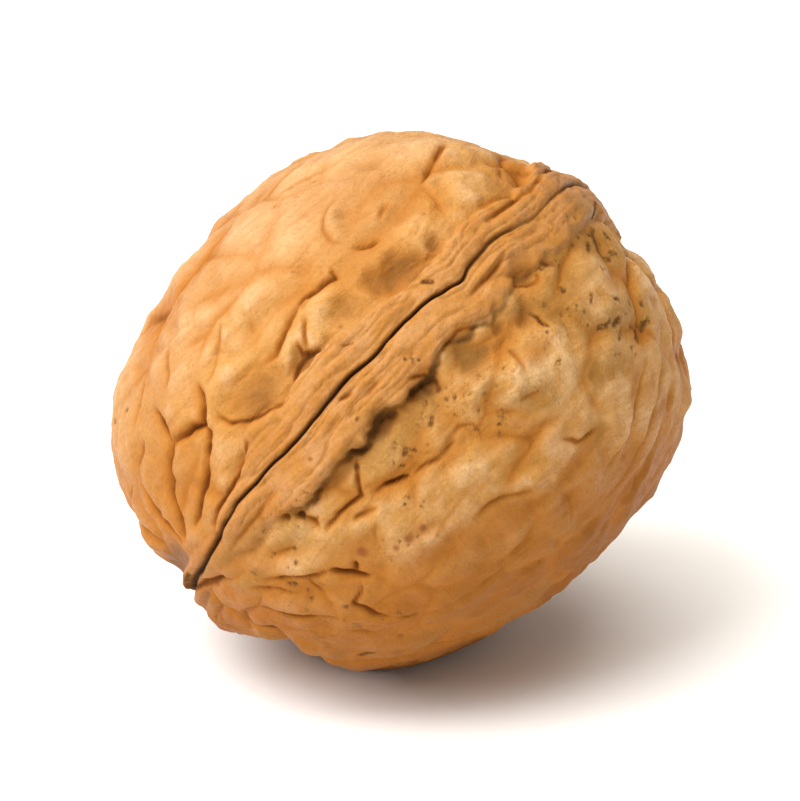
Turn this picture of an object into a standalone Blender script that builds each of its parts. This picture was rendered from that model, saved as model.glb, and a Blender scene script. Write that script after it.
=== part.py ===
"""A whole walnut in its shell, lying as it comes to rest, apex raised.

The shell is one grown piece. It is modelled as a sphere whose points are moved along their
directions to the surface of the nut: a slightly squared ellipsoid with a few broad swellings,
the two raised lips of the suture with the crack between them, the furrows, ridges and hollows
of the shell, and a net of furrows that a seeded rule grows.

Places on the nut are given as (latitude, longitude) in degrees: latitude 90 is the apex and
-90 the stem end, longitude 0 is the front suture, 90 one cheek, -90 the other and 180 the
rear suture. Heights and widths on the shell are in millimetres.
"""
import itertools
import math

import bmesh
import bpy
import numpy as np
from mathutils import Matrix, Vector

MM = 0.001

# Driving dimensions of the nut, in millimetres
HALF_LENGTH = 18.83
HALF_ACROSS_CHEEKS = 17.12
HALF_ACROSS_SUTURES = 17.35
SQUARENESS = 2.2
MEAN_RADIUS = 17.6

# Attitude: the apex rises out of the surface and heads a little away from the viewer
APEX_RISE = 36.9
APEX_HEADING = 20.5
ROLL = 138.9

# The nut's centre above the rest plane, and how far it lies from the frame's origin
CENTRE = (-0.16, -0.07, 17.7)
REST_FADE_FROM = 17.0
REST_FADE_TO = 29.0

# The mesh before it is cut: grid steps along each side of a cube, how much closer they lie
# towards the front and beside the suture, over what share of a side, and the narrowest furrow
# the grid can hold
STEPS_A_SIDE = 30
FRONT_CROWDING = 0.15
SUTURE_CROWDING = 1.2
SUTURE_CROWD_WIDTH = 0.27
ROWS_FOLLOW_WITHIN = 30.0
FINEST_WIDTH = 0.60

# Broad swellings and flats: latitude, longitude, spread in degrees, height
SWELLINGS = [
    (-60, -81, 24, 0.8),
    (65, -81, 18, -1.1),
    (50, 99, 22, 0.9),
    (-25, 99, 26, -0.6),
    (-65, 99, 9, -1.3),
    (-25, -81, 14, -0.4),
    (74, 78, 9, -0.9),
    (89, 99, 5, -0.5),
    (84, 99, 4.5, -0.6),
    (78, 38, 6, -0.55),
    (78, 160, 6, -0.5),
    (71, 99, 8, 0.45),
    (-79, 99, 8, 0.75),
    (-66, 99, 5, -0.7),
    (-63, 71, 5, -0.6),
    (-63, 127, 5, -0.6),
    (-54, 99, 6, -0.2),
    (-83.4, -81, 5, 0.33),
    (-56, -81, 6, 0.2),
    (-6, -81, 5, 0.45),
    (15, -81, 8, 0.33),
]

# The suture's line: angle round the nut from the front (apex 90, stem -90), and how far
# it strays from the middle towards the cheek at longitude 90, in degrees
SUTURE_LINE = [
    (-90, 1.2), (-75, 2.1), (-59, 2.5), (-49, 1.5), (-41, 0.6), (-31, 0.5), (-22, 0.6), (-15, -0.2),
    (-9, -1.2), (-4, -1.6), (2, -1.5), (11, -2.7), (17, -3.1), (23, -2.6), (27, -2.1), (30, -3.2),
    (35, -4.4), (39, -4.9), (45, -4.4), (50, -4.1), (55, -4.8), (61, -6.0), (67, -6.8), (77, -7.8),
    (83, -7.1), (95, -5.0), (110, -2.0), (130, 0.8), (155, 1.6), (180, 0.0), (205, -1.6), (230, -0.8),
    (250, 0.6),
]

# The lip on each side of the crack: angle round the nut, its width, its rise over the cheek, and
# the depth of the groove under its outer edge
LEFT_LIP = [
    (-90, 0.8, 0.10, 0.00), (-60, 0.8, 0.15, 0.00), (-50, 0.8, 0.20, 0.05), (-40, 1.1, 0.30, 0.10),
    (-34, 1.7, 0.35, 0.10), (-29, 2.7, 0.50, 0.20), (-20, 2.5, 0.50, 0.15), (-10, 2.6, 0.60, 0.30),
    (0, 2.45, 0.55, 0.20), (10, 2.3, 0.50, 0.15), (19, 1.9, 0.50, 0.25), (28, 2.3, 0.45, 0.20),
    (35, 2.0, 0.40, 0.10), (50, 1.9, 0.35, 0.05), (60, 2.1, 0.35, 0.10), (72, 2.4, 0.45, 0.15),
    (85, 2.5, 0.50, 0.15), (120, 2.5, 0.45, 0.15), (160, 2.8, 0.50, 0.20), (200, 2.5, 0.45, 0.20),
    (240, 1.6, 0.25, 0.10),
]
RIGHT_LIP = [
    (-90, 0.9, 0.10, 0.00), (-60, 1.2, 0.15, 0.00), (-47, 2.0, 0.25, 0.15), (-36, 2.7, 0.40, 0.25),
    (-28, 3.1, 0.60, 0.40), (-20, 2.9, 0.75, 0.55), (-11, 3.4, 0.80, 0.60), (-5, 3.05, 0.80, 0.60),
    (0, 3.25, 0.75, 0.55), (4, 2.9, 0.70, 0.55), (9, 3.5, 0.50, 0.45), (14, 2.85, 0.50, 0.40),
    (19, 2.8, 0.50, 0.40), (24, 3.1, 0.40, 0.30), (32, 2.9, 0.30, 0.20), (45, 2.7, 0.25, 0.10),
    (60, 2.6, 0.30, 0.10), (90, 2.4, 0.45, 0.15), (150, 2.7, 0.50, 0.20), (200, 2.7, 0.50, 0.20),
    (240, 1.7, 0.25, 0.10),
]
LIP_CREST = 0.10
LIP_STEP = 0.90
LIP_RAGGED = 0.09
GROOVE_WIDTH = 0.55

# The crack: angle round the nut, half-width and darkness
CRACK = [
    (-90, 0.26, 1.0), (-75, 0.20, 1.0), (-66, 0.15, 1.0), (-58, 0.12, 1.0), (-45, 0.10, 0.95),
    (-20, 0.11, 0.95), (-8, 0.14, 1.0), (0, 0.11, 0.95), (22, 0.10, 0.90), (27, 0.10, 0.80),
    (32, 0.17, 0.62), (38, 0.17, 0.75), (48, 0.15, 0.50), (56, 0.15, 0.60), (66, 0.17, 0.85),
    (80, 0.15, 0.80), (110, 0.12, 0.70), (180, 0.13, 0.75), (225, 0.16, 0.90), (250, 0.26, 1.0),
]
CRACK_DEPTH = 0.60

# Furrows: depth, half-width, path
FURROWS = [
    # The leaf-shaped lobes beside the stem, on the cheek at longitude -90
    (0.90, 0.45, [(-31, -28), (-33, -24), (-36.4, -21), (-39, -24), (-41, -25), (-45, -28)]),
    (1.00, 0.45, [(-45, -28), (-50, -26), (-53, -23.5), (-56, -22), (-59.5, -15), (-63, -10)]),
    (0.65, 0.40, [(-42.5, -39), (-44, -34), (-45, -28)]),
    (0.75, 0.40, [(-36.4, -21), (-36.3, -18), (-38, -16), (-44, -12.5), (-50, -9.3), (-56, -7)]),
    (0.55, 0.36, [(-30.5, -7.5), (-36.5, -5), (-40.5, -3.6), (-44, -3), (-52, -1.2)]),
    (0.85, 0.42, [(-61.5, -39), (-63, -35), (-64.5, -28.5), (-64.6, -21), (-65, -10)]),
    (0.40, 0.40, [(-50, -40), (-57, -43), (-61.5, -39)]),
    (0.26, 0.42, [(-70, -72), (-67, -58), (-62, -50)]),
    (0.20, 0.40, [(-37, -51.5), (-43, -48), (-50, -47)]),
    (0.22, 0.40, [(-30, -45), (-35, -39.5), (-37, -38)]),
    # The same cheek beside the middle of the suture
    (0.55, 0.35, [(-32, -18), (-30.5, -14.5), (-27.5, -11), (-25, -9.9), (-19.5, -8.6)]),
    (0.25, 0.40, [(-17, -19.6), (-21.5, -19.8), (-25.6, -20.5)]),
    (0.26, 0.45, [(-17.5, -34), (-20.5, -31.3), (-25, -27.5), (-28.3, -25.8)]),
    (0.18, 0.40, [(-12.5, -29), (-15, -25)]),
    (0.70, 0.35, [(-6, -11), (-9, -12), (-12, -11.8), (-14.5, -10)]),
    (0.50, 0.30, [(-7, -12), (-9.3, -13.1), (-8.5, -15)]),
    (0.55, 0.38, [(-2.8, -22.6), (-0.8, -23.5), (1.8, -22.8), (6.8, -21.9), (7.5, -23.8)]),
    (0.45, 0.50, [(-2.8, -22.6), (-6, -21.3), (-8.8, -19.7), (-14, -17.5), (-18, -18.5)]),
    (0.35, 0.35, [(-3.5, -19), (-5.5, -16.3), (-7.5, -13.2)]),
    (0.40, 0.60, [(14.5, -24.8), (16.5, -23.8), (19.5, -23)]),
    (0.24, 0.45, [(19, -41), (15.5, -39), (13.2, -36.5), (11.9, -33.4), (12, -30), (13, -27.5)]),
    (0.25, 0.45, [(26.5, -30.5), (23.5, -28)]),
    (0.20, 0.50, [(8, -55), (14, -54), (20, -53), (25, -54)]),
    (0.50, 0.50, [(35.5, -32), (38, -35), (42, -40), (46, -46)]),
    (0.30, 0.45, [(54.5, -35), (55, -32), (53, -28)]),
    # On the lips
    (0.45, 0.32, [(41, -11.5), (48, -13.7), (52, -15.4), (56, -17.8), (60, -21.5), (64, -28)]),
    (0.50, 0.42, [(64, -28), (69, -38), (73, -50), (76, -70)]),
    (0.20, 0.25, [(20.5, -7), (22, -6)]),
    (0.20, 0.25, [(-1.5, -7.5), (0.5, -6.5)]),
    (0.15, 0.25, [(-12, -6), (-11, -3)]),
    (0.15, 0.22, [(12, -7), (15, -6.5), (17, -7)]),
    (0.25, 0.25, [(-6, 4), (-1, 3.5), (1, 4)]),
    (0.20, 0.25, [(-16, 4.5), (-11, 3.5)]),
    (0.35, 0.20, [(-9.5, 0.6), (-8, 1.2), (-6.5, 1.4)]),
    (0.35, 0.30, [(27, 2), (30, 1.5), (34, 1), (38, -1)]),
    (0.30, 0.30, [(-33, 6), (-38, 6.5), (-42, 7), (-47, 7.5), (-52, 9)]),
    (0.15, 0.25, [(33, -1.5), (36, -2), (40, -3)]),
    # Round the hollows beside the lip, on the cheek at longitude 90
    (0.55, 0.28, [(4.7, 7.5), (7.5, 8.7), (8.8, 11.3), (8, 13)]),
    (0.40, 0.35, [(14.3, 6.8), (18.8, 6.5), (22.8, 8.2)]),
    (0.42, 0.30, [(36, 5.5), (38.3, 8.7), (41, 9.5), (42.5, 8)]),
    # The same cheek towards the stem
    (0.75, 0.42, [(-17.3, 21), (-15.2, 21.3), (-12.6, 22.2), (-9.4, 23.3)]),
    (0.38, 0.50, [(-9.4, 23.3), (-5.8, 23.5), (-1.4, 24.1), (3, 23.8)]),
    (0.50, 0.35, [(-16.5, 13), (-18, 15.7), (-20, 19.8), (-23.5, 19.7), (-30, 20.5)]),
    (0.38, 0.40, [(-19, 23.5), (-21.8, 23.5), (-24.8, 23.1)]),
    (0.20, 0.45, [(-20.5, 26), (-23.4, 28.6), (-24.4, 33.3)]),
    (0.65, 0.38, [(-31.2, 32.3), (-32.7, 34.6)]),
    (0.75, 0.38, [(-36.4, 30.6), (-35, 32.5), (-33.7, 34), (-30.9, 37.5)]),
    (0.45, 0.50, [(-36.4, 30.6), (-40, 29.5), (-43, 28), (-47, 26), (-52, 24)]),
    (0.35, 0.35, [(-42.2, 29.5), (-42.3, 33), (-42, 36.3)]),
    (0.50, 0.40, [(-33.5, 39), (-37.5, 43), (-36, 46), (-35.2, 49.5), (-31, 53.5), (-28, 55)]),
    (0.40, 0.40, [(-56, 24), (-50, 29.5), (-46, 33)]),
    (0.45, 0.40, [(-60, 33), (-58, 35), (-53, 39), (-48, 43), (-43, 46)]),
    (0.25, 0.40, [(-58, 43), (-52, 48), (-47, 52)]),
    (0.30, 0.40, [(-44, 51), (-42, 53), (-38, 57)]),
    (0.45, 0.30, [(-86, 12), (-74, 14), (-66, 18)]),
    (0.60, 0.28, [(-33.7, 13.8), (-33, 14.5), (-32.4, 15.5)]),
    (0.40, 0.30, [(-32.4, 15.5), (-32, 17), (-31, 19.5)]),
    (0.40, 0.35, [(-36.5, 11.5), (-35, 12.8)]),
    (0.30, 0.40, [(-44.5, 18.5), (-42, 19.5), (-39.5, 20.3)]),
    (0.70, 0.70, [(-62, 17), (-70, 14), (-76, 13)]),
    # The same cheek towards the apex and the far outline
    (0.30, 0.45, [(1.2, 22.7), (6, 22.4), (8.3, 23.3), (8.6, 25.6), (7.2, 28.2)]),
    (0.30, 0.45, [(-4, 40.5), (0, 40.3), (4, 42), (8.5, 45)]),
    (0.35, 0.40, [(20.5, 41.5), (22.2, 45), (25.5, 47), (27.5, 47.5)]),
    (0.25, 0.40, [(24, 29), (19, 27)]),
    (0.25, 0.35, [(25, 16), (25, 20), (24, 23)]),
    (0.30, 0.25, [(35.3, 15.7), (35.3, 19.7)]),
    (0.22, 0.70, [(-35, 57), (-25, 56), (-15, 57), (-5, 57), (5, 56)]),
    (0.22, 0.60, [(-28, 66), (-15, 65), (0, 66), (12, 64)]),
    (0.25, 0.50, [(14, 52), (13, 57), (10, 61)]),
    (0.24, 0.50, [(22, 58), (30, 58), (40, 55), (48, 53)]),
    (0.24, 0.50, [(18, 66), (28, 66), (38, 64), (48, 62)]),
    (0.22, 0.50, [(10, 74), (25, 75), (38, 74)]),
]

# Hollows and dimples: depth, half-width, path
HOLLOWS = [
    (0.50, 0.75, [(-8.5, -12.5), (-13, -11.5)]),
    (0.45, 1.50, [(-17, -14), (-26, -14.5)]),
    (0.30, 0.70, [(-28.5, -13)]),
    (0.45, 1.10, [(2, -14.5), (6, -14)]),
    (0.60, 1.10, [(14, -14.5), (20, -14.3), (22, -14)]),
    (0.50, 0.70, [(28, -13.8)]),
    (0.25, 1.10, [(50, -22)]),
    (0.70, 0.80, [(5, 10.8), (6.5, 11)]),
    (0.75, 0.85, [(-4.9, 10.8), (-8.5, 11.4)]),
    (0.45, 0.80, [(-11, 12.2), (-15, 12), (-20, 12.2), (-24, 12.5)]),
    (0.50, 1.45, [(18.1, 11.5)]),
    (0.50, 0.65, [(26.9, 11.8)]),
    (0.45, 1.00, [(39.5, 6)]),
    (0.34, 0.80, [(33, 14)]),
    (0.28, 1.30, [(-27, 46), (-27, 52)]),
    (0.30, 1.20, [(-6, 48), (-10, 49.5)]),
    (0.22, 0.90, [(44, -24)]), (0.22, 0.90, [(38, -28)]), (0.26, 1.00, [(29.5, -46.5)]),
    (0.24, 0.80, [(26.5, -26)]), (0.24, 0.90, [(18, -35)]), (0.22, 0.90, [(3, -29)]),
    (0.24, 1.10, [(15, -52)]), (0.24, 1.20, [(20, -63)]), (0.24, 1.10, [(-12, -46)]),
    (0.22, 0.90, [(-22, -40)]), (0.24, 0.90, [(-33, -49)]), (0.22, 0.90, [(-26, -49)]),
    (0.24, 1.10, [(-38, -54)]), (0.26, 0.90, [(-42, 33)]), (0.26, 1.00, [(-46, 46)]),
    (0.24, 0.90, [(-54, 41)]), (0.26, 1.00, [(-54, 53)]), (0.24, 0.80, [(-57, 36)]),
    (0.28, 1.00, [(36, 38.5)]), (0.24, 1.00, [(27, 53)]), (0.26, 1.00, [(31, 62)]),
    (0.24, 1.00, [(13, 55)]),
]

# Ridges: height, half-width, path
RIDGES = [
    (0.25, 0.60, [(-25, -26), (-30, -23), (-34, -20.5)]),
    (0.20, 0.50, [(17, -36.5), (15.5, -35.5), (13.6, -32.5), (13.8, -28.5)]),
    (0.26, 0.45, [(30, 0), (34, -0.8), (38, -2), (42, -2)]),
    (0.30, 0.50, [(6, 40.5), (11, 43), (15, 45)]),
    (0.30, 0.70, [(31.5, 10)]),
    (0.25, 0.50, [(27, 56), (31, 56), (36, 54.5)]),
    (0.18, 0.30, [(53.5, 0.5)]),
    (0.20, 0.35, [(-36, 3), (-42, 3.6), (-50, 4.5)]),
    (0.25, 0.50, [(-17.5, 23.5), (-21, 25.3), (-25, 25)]),
    (0.30, 2.20, [(84, -75)]),
]

# The net of furrows that covers the shell: cells, and how they stretch towards the stem
NET_SEED = 11
NET_CELLS = 190
NET_DENSER_AT_STEM = 1.3
NET_FAN = 0.45
NET_LENGTHWISE = 0.8
NET_LENGTHWISE_AT_STEM = 0.52
NET_SHIFT = 0.10
NET_DEPTH = 0.62
NET_WIDTH = 0.050
NET_ON_DRAWN_SIDE = 0.45
CELL_CROWN = 0.30

# Height of the lengthwise wrinkles, and of the rounded lumps
WRINKLE_HEIGHT = 0.10
LUMP_HEIGHT = 0.32

# Hollows that a seeded rule sets beside the suture where none is drawn by hand
SIDE_HOLLOW_DEPTH = 0.75

# Middle of the side whose furrows are placed by hand: latitude, longitude
DRAWN_SIDE = (0, 9)

# Noise: number of grid cells along each side of its repeating block, and its seed
NOISE_BLOCK = 64
NOISE_SEED = 5

SHELL_COLOUR = (0.66, 0.36, 0.13, 1.0)
SHELL_ROUGHNESS = 0.5


def direction(latitude, longitude):
    """Unit direction, in the nut's own axes, of a latitude and longitude in degrees."""
    lat, lon = np.radians(latitude), np.radians(longitude)
    return np.stack([np.cos(lat) * np.cos(lon), np.cos(lat) * np.sin(lon), np.sin(lat)], axis=-1)


def smooth_step(low, high, value):
    """0 below low, 1 above high, and a smooth rise between; high may be the smaller one."""
    t = np.clip((value - low) / (high - low), 0.0, 1.0)
    return t * t * (3.0 - 2.0 * t)


def angle_to(directions, latitude, longitude):
    """Angle in degrees from each direction to a place on the nut."""
    return np.degrees(np.arccos(np.clip(directions @ direction(latitude, longitude), -1.0, 1.0)))


def round_the_nut(table, angles, column=1):
    """Value from a column of a table whose first column is angles, smooth and joined up at 360."""
    numbers = np.array(table, float)
    at = np.concatenate([numbers[:, 0] - 360.0, numbers[:, 0], numbers[:, 0] + 360.0])
    value = np.tile(numbers[:, column], 3)
    slope = np.gradient(value, at)
    wrapped = (angles + 90.0) % 360.0 - 90.0
    i = np.clip(np.searchsorted(at, wrapped) - 1, 0, len(at) - 2)
    gap = at[i + 1] - at[i]
    t = (wrapped - at[i]) / gap
    start = (1.0 + 2.0 * t) * (1.0 - t) ** 2 * value[i] + t * (1.0 - t) ** 2 * gap * slope[i]
    end = t * t * (3.0 - 2.0 * t) * value[i + 1] + t * t * (t - 1.0) * gap * slope[i + 1]
    return start + end


def noise(points, scale, offset=0.0):
    """Smooth noise from -1 to 1 at points, with bumps about 1 / scale across."""
    block = np.random.default_rng(NOISE_SEED).uniform(-1.0, 1.0, (NOISE_BLOCK,) * 3)
    spot = points * scale + offset + 500.0
    base = np.floor(spot).astype(int)
    part = smooth_step(0.0, 1.0, spot - base)
    total = np.zeros(len(points))
    for corner in itertools.product((0, 1), repeat=3):
        weight = np.prod(np.where(corner, part, 1.0 - part), axis=1)
        total += weight * block[tuple(((base + corner) % NOISE_BLOCK).T)]
    return total


def wander(directions, scale, amount):
    """Directions moved about a little by noise, so that drawn lines waver as grown ones do."""
    moved = [noise(directions, scale, offset) for offset in (3.1, 17.7, 31.3)]
    return directions + amount * np.stack(moved, axis=1)


def path_distance(directions, path):
    """Distance over the shell to a path, and how far along it the nearest point lies, 0 to 1."""
    points = direction(*np.array(path, float).T)
    if len(points) == 1:
        return np.linalg.norm(directions - points[0], axis=1) * MEAN_RADIUS, np.full(len(directions), 0.5)
    lengths = np.linalg.norm(np.diff(points, axis=0), axis=1)
    reached = np.concatenate([[0.0], np.cumsum(lengths)]) / lengths.sum()
    nearest = np.full(len(directions), np.inf)
    along = np.zeros(len(directions))
    for i, length in enumerate(lengths):
        run = points[i + 1] - points[i]
        t = np.clip((directions - points[i]) @ run / length ** 2, 0.0, 1.0)
        gap = np.linalg.norm(directions - points[i] - t[:, None] * run, axis=1)
        closer = gap < nearest
        nearest[closer] = gap[closer]
        along[closer] = (reached[i] + t * (reached[i + 1] - reached[i]))[closer]
    return nearest * MEAN_RADIUS, along


def drawn(directions, features, sharpness, taper):
    """Deepest of the drawn features at each direction, each fading across its width and at its ends."""
    deepest = np.zeros(len(directions))
    for depth, half_width, path in features:
        width = max(half_width, FINEST_WIDTH)
        gap, along = path_distance(directions, path)
        strength = 1.0 - taper * np.abs(2.0 * along - 1.0) ** 3
        deepest = np.maximum(deepest, depth * strength * np.exp(-(gap / width) ** sharpness))
    return deepest


def egg(directions):
    """Distance from the centre to the smooth body of the nut."""
    half = np.array([HALF_ACROSS_SUTURES, HALF_ACROSS_CHEEKS, HALF_LENGTH])
    radius = np.sum(np.abs(directions / half) ** SQUARENESS, axis=1) ** (-1.0 / SQUARENESS)
    for latitude, longitude, spread, height in SWELLINGS:
        radius += height * np.exp(-(angle_to(directions, latitude, longitude) / spread) ** 2)
    return radius


def suture_place(directions):
    """Angle round the nut, and distance in millimetres from the crack towards longitude 90."""
    angles = np.degrees(np.arctan2(directions[:, 2], directions[:, 0]))
    aside = np.degrees(np.arcsin(np.clip(directions[:, 1], -1.0, 1.0)))
    return angles, np.radians(aside - round_the_nut(SUTURE_LINE, angles)) * MEAN_RADIUS


def suture_relief(directions):
    """Height of the two lips, how far on one a point is, the crack, the groove beside, the width."""
    angles, aside = suture_place(wander(directions, 9.0, 0.006))
    right = smooth_step(-0.25, 0.25, aside)
    left_lip = [round_the_nut(LEFT_LIP, angles, column) for column in (1, 2, 3)]
    right_lip = [round_the_nut(RIGHT_LIP, angles, column) for column in (1, 2, 3)]
    width, rise, groove = [a + right * (b - a) for a, b in zip(left_lip, right_lip)]
    ragged = noise(directions, 15.0, 13.0) + 0.5 * noise(directions, 34.0, 15.0)
    width = width * (1.0 + LIP_RAGGED * ragged)
    beyond = np.abs(aside) - width
    groove *= np.exp(-((beyond - 0.28) / GROOVE_WIDTH) ** 2) * (0.62 + 0.75 * noise(directions, 8.0, 19.0))
    on_lip = smooth_step(width + 0.5 * LIP_STEP, width - 0.5 * LIP_STEP, np.abs(aside))
    crest = np.sin(math.pi * np.clip(np.abs(aside) / width, 0.0, 1.0))
    angles, aside = suture_place(wander(directions, 22.0, 0.004))
    crack_width = np.maximum(round_the_nut(CRACK, angles, 1), FINEST_WIDTH)
    crack = round_the_nut(CRACK, angles, 2) * np.exp(-(aside / crack_width) ** 2)
    return (rise + LIP_CREST * crest) * on_lip, on_lip, crack, np.maximum(groove, 0.0), width


def side_hollows(directions, width):
    """Depth of the hollows along the outer edges of the lips, set by noise."""
    angles, aside = suture_place(directions)
    beyond = np.abs(aside) - width
    band = smooth_step(-0.1, 0.5, beyond) * smooth_step(2.9, 0.9, beyond)
    return SIDE_HOLLOW_DEPTH * band * smooth_step(0.0, 0.45, noise(directions, 4.2, 8.0))


def net_space(directions):
    """Directions squeezed lengthwise, so that cells grown there are long and fan out from the stem."""
    lat = np.arcsin(np.clip(directions[:, 2], -1.0, 1.0))
    lon = np.arctan2(directions[:, 1], directions[:, 0])
    around = np.maximum(np.cos(lat), 0.0) ** NET_FAN
    along = np.where(lat > 0.0, NET_LENGTHWISE, NET_LENGTHWISE_AT_STEM) * lat
    return np.stack([around * np.cos(lon), around * np.sin(lon), along], axis=1)


def net_seeds():
    """Middles of the cells, closer together towards the stem."""
    random = np.random.default_rng(NET_SEED)
    share = (np.arange(NET_CELLS) + 0.5) / NET_CELLS
    height = 2.0 * share ** NET_DENSER_AT_STEM - 1.0
    turn = np.arange(NET_CELLS) * math.pi * (3.0 - math.sqrt(5.0))
    flat = np.sqrt(1.0 - height ** 2)
    seeds = np.stack([flat * np.cos(turn), flat * np.sin(turn), height], axis=1)
    seeds += random.normal(0.0, NET_SHIFT, seeds.shape)
    return net_space(seeds / np.linalg.norm(seeds, axis=1)[:, None])


def net_relief(directions):
    """Depth of the net's furrows and the rise of its cells between them."""
    spots = net_space(wander(wander(directions, 3.0, 0.05), 9.0, 0.02))
    nearest = np.full(len(spots), 9.0)
    second = np.full(len(spots), 9.0)
    for seed in net_seeds():
        gap = np.linalg.norm(spots - seed, axis=1)
        second = np.minimum(second, np.maximum(nearest, gap))
        nearest = np.minimum(nearest, gap)
    border = second - nearest
    broken = 0.15 + 0.85 * smooth_step(-0.45, 0.35, noise(directions, 5.0, 41.0))
    furrow = NET_DEPTH * broken * np.exp(-(border / NET_WIDTH) ** 1.1)
    crown = CELL_CROWN * (1.0 - np.exp(-(border / (3.0 * NET_WIDTH)) ** 2))
    return furrow, crown


def lumps(directions):
    """Rounded lumps a few millimetres across, meeting in creases."""
    bent = wander(directions, 5.0, 0.03)
    coarse = np.abs(noise(bent, 6.0, 71.0)) - 0.25
    fine = np.abs(noise(bent, 12.0, 77.0)) - 0.25
    return LUMP_HEIGHT * (coarse + 0.55 * fine)


def wrinkles(directions):
    """Fine wrinkles that run lengthwise and fan out from the stem."""
    lat = np.arcsin(np.clip(directions[:, 2], -1.0, 1.0))
    lon = np.arctan2(directions[:, 1], directions[:, 0])
    around = np.sqrt(np.maximum(np.cos(lat), 0.0))
    squeezed = np.stack([around * np.cos(lon), around * np.sin(lon), 0.35 * lat], axis=1)
    ridges = 1.0 - 2.0 * np.abs(noise(squeezed, 11.0, 61.0))
    return 0.6 * ridges + 0.4 * noise(squeezed, 24.0, 67.0)


def surface_radius(directions):
    """Distance from the nut's centre to its shell along each direction."""
    lip_height, lip, crack, groove, width = suture_relief(directions)
    strayed = wander(wander(directions, 12.0, 0.008), 34.0, 0.004)
    hollowed = wander(directions, 16.0, 0.022)
    carved = np.maximum(drawn(strayed, FURROWS, 1.0, 0.5), drawn(hollowed, HOLLOWS, 3.0, 0.2))
    drawn_side = smooth_step(78.0, 55.0, angle_to(directions, *DRAWN_SIDE))
    furrow, crown = net_relief(directions)
    net_share = (1.0 - drawn_side * (1.0 - NET_ON_DRAWN_SIDE)) * (1.0 - 0.85 * lip)
    grown = np.maximum(furrow * net_share, side_hollows(directions, width) * (1.0 - drawn_side))
    relief = lip_height + drawn(strayed, RIDGES, 2.0, 0.4) + crown * (1.0 - lip) - CELL_CROWN
    relief -= np.maximum(np.maximum(carved, grown), groove) + CRACK_DEPTH * crack
    relief += 0.22 * noise(directions, 4.0, 23.0) + lumps(directions) * (1.0 - 0.5 * lip)
    rough_here = smooth_step(-0.1, 0.6, directions[:, 1]) * (1.0 - lip)
    relief += WRINKLE_HEIGHT * rough_here * wrinkles(directions)
    from_rest = np.degrees(np.arccos(np.clip(-(directions @ to_world()[2]), -1.0, 1.0)))
    return egg(directions) + relief * smooth_step(REST_FADE_FROM, REST_FADE_TO, from_rest)


def to_world():
    """Rotation from the nut's own axes to the frame's: rows are the frame's X, Y and Z."""
    rise, heading, roll = math.radians(APEX_RISE), math.radians(APEX_HEADING), math.radians(ROLL)
    apex = Vector((math.cos(rise) * math.cos(heading), math.cos(rise) * math.sin(heading), math.sin(rise)))
    level = Vector((0.0, 0.0, 1.0)).cross(apex).normalized()
    suture = Matrix.Rotation(roll, 3, apex) @ level
    cheek = apex.cross(suture)
    return np.array([suture, cheek, apex]).T


def nut_cube():
    """A cube with a grid on each side, to be blown up into the nut."""
    mesh = bmesh.new()
    bmesh.ops.create_cube(mesh, size=2.0)
    bmesh.ops.subdivide_edges(mesh, edges=mesh.edges[:], cuts=STEPS_A_SIDE - 1, use_grid_fill=True)
    return mesh


def crowded(across):
    """Rows' places from -1 to 1 across the suture, drawn in towards it."""
    row = np.linspace(-1.0, 1.0, 721)
    density = 1.0 + SUTURE_CROWDING * np.exp(-(row / SUTURE_CROWD_WIDTH) ** 2)
    reached = np.concatenate([[0.0], np.cumsum(0.5 * (density[1:] + density[:-1]))])
    return np.interp((across + 1.0) / 2.0, reached / reached[-1], row)


def grid_directions(places):
    """Directions of the cube's points on a sphere, with the middle row of four sides on the suture."""
    sides = np.stack([places[:, 0], crowded(places[:, 1]), places[:, 2]], axis=1)
    spread = np.tan(math.pi / 4.0 * sides)
    spread /= np.linalg.norm(spread, axis=1)[:, None]
    from_front = np.arccos(np.clip(spread[:, 0], -1.0, 1.0))
    closer = from_front - FRONT_CROWDING * np.sin(from_front)
    sideways = np.sin(closer) / np.maximum(np.sin(from_front), 1e-9)
    spread = np.stack([np.cos(closer), spread[:, 1] * sideways, spread[:, 2] * sideways], axis=1)
    turn = np.arctan2(spread[:, 2], spread[:, 0])
    aside = np.degrees(np.arcsin(np.clip(spread[:, 1], -1.0, 1.0)))
    aside += round_the_nut(SUTURE_LINE, np.degrees(turn)) * np.exp(-(aside / ROWS_FOLLOW_WITHIN) ** 2)
    aside = np.radians(aside)
    return np.stack([np.cos(aside) * np.cos(turn), np.sin(aside), np.cos(aside) * np.sin(turn)], axis=1)


def cut_flat(mesh):
    """Cuts the small flat on which the nut rests, at the frame's Z = 0, and closes it."""
    everything = mesh.verts[:] + mesh.edges[:] + mesh.faces[:]
    cut = bmesh.ops.bisect_plane(
        mesh, geom=everything, plane_co=(0, 0, 0), plane_no=(0, 0, 1), dist=1e-7, clear_inner=True)
    rim = [item for item in cut["geom_cut"] if isinstance(item, bmesh.types.BMEdge)]
    bmesh.ops.contextual_create(mesh, geom=rim)


def make_shell():
    """The nut as one closed mesh, in the frame's metres."""
    mesh = nut_cube()
    mesh.verts.ensure_lookup_table()
    directions = grid_directions(np.array([v.co for v in mesh.verts]))
    places = (directions * surface_radius(directions)[:, None]) @ to_world().T + np.array(CENTRE)
    for vertex, place in zip(mesh.verts, places * MM):
        vertex.co = place
    bmesh.ops.recalc_face_normals(mesh, faces=mesh.faces[:])
    cut_flat(mesh)
    bmesh.ops.recalc_face_normals(mesh, faces=mesh.faces[:])
    return mesh


def shell_material():
    """Tan shell, half dull."""
    material = bpy.data.materials.new("shell")
    material.use_nodes = True
    shader = material.node_tree.nodes["Principled BSDF"]
    shader.inputs["Base Color"].default_value = SHELL_COLOUR
    shader.inputs["Roughness"].default_value = SHELL_ROUGHNESS
    shader.inputs["Metallic"].default_value = 0.0
    return material


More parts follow.
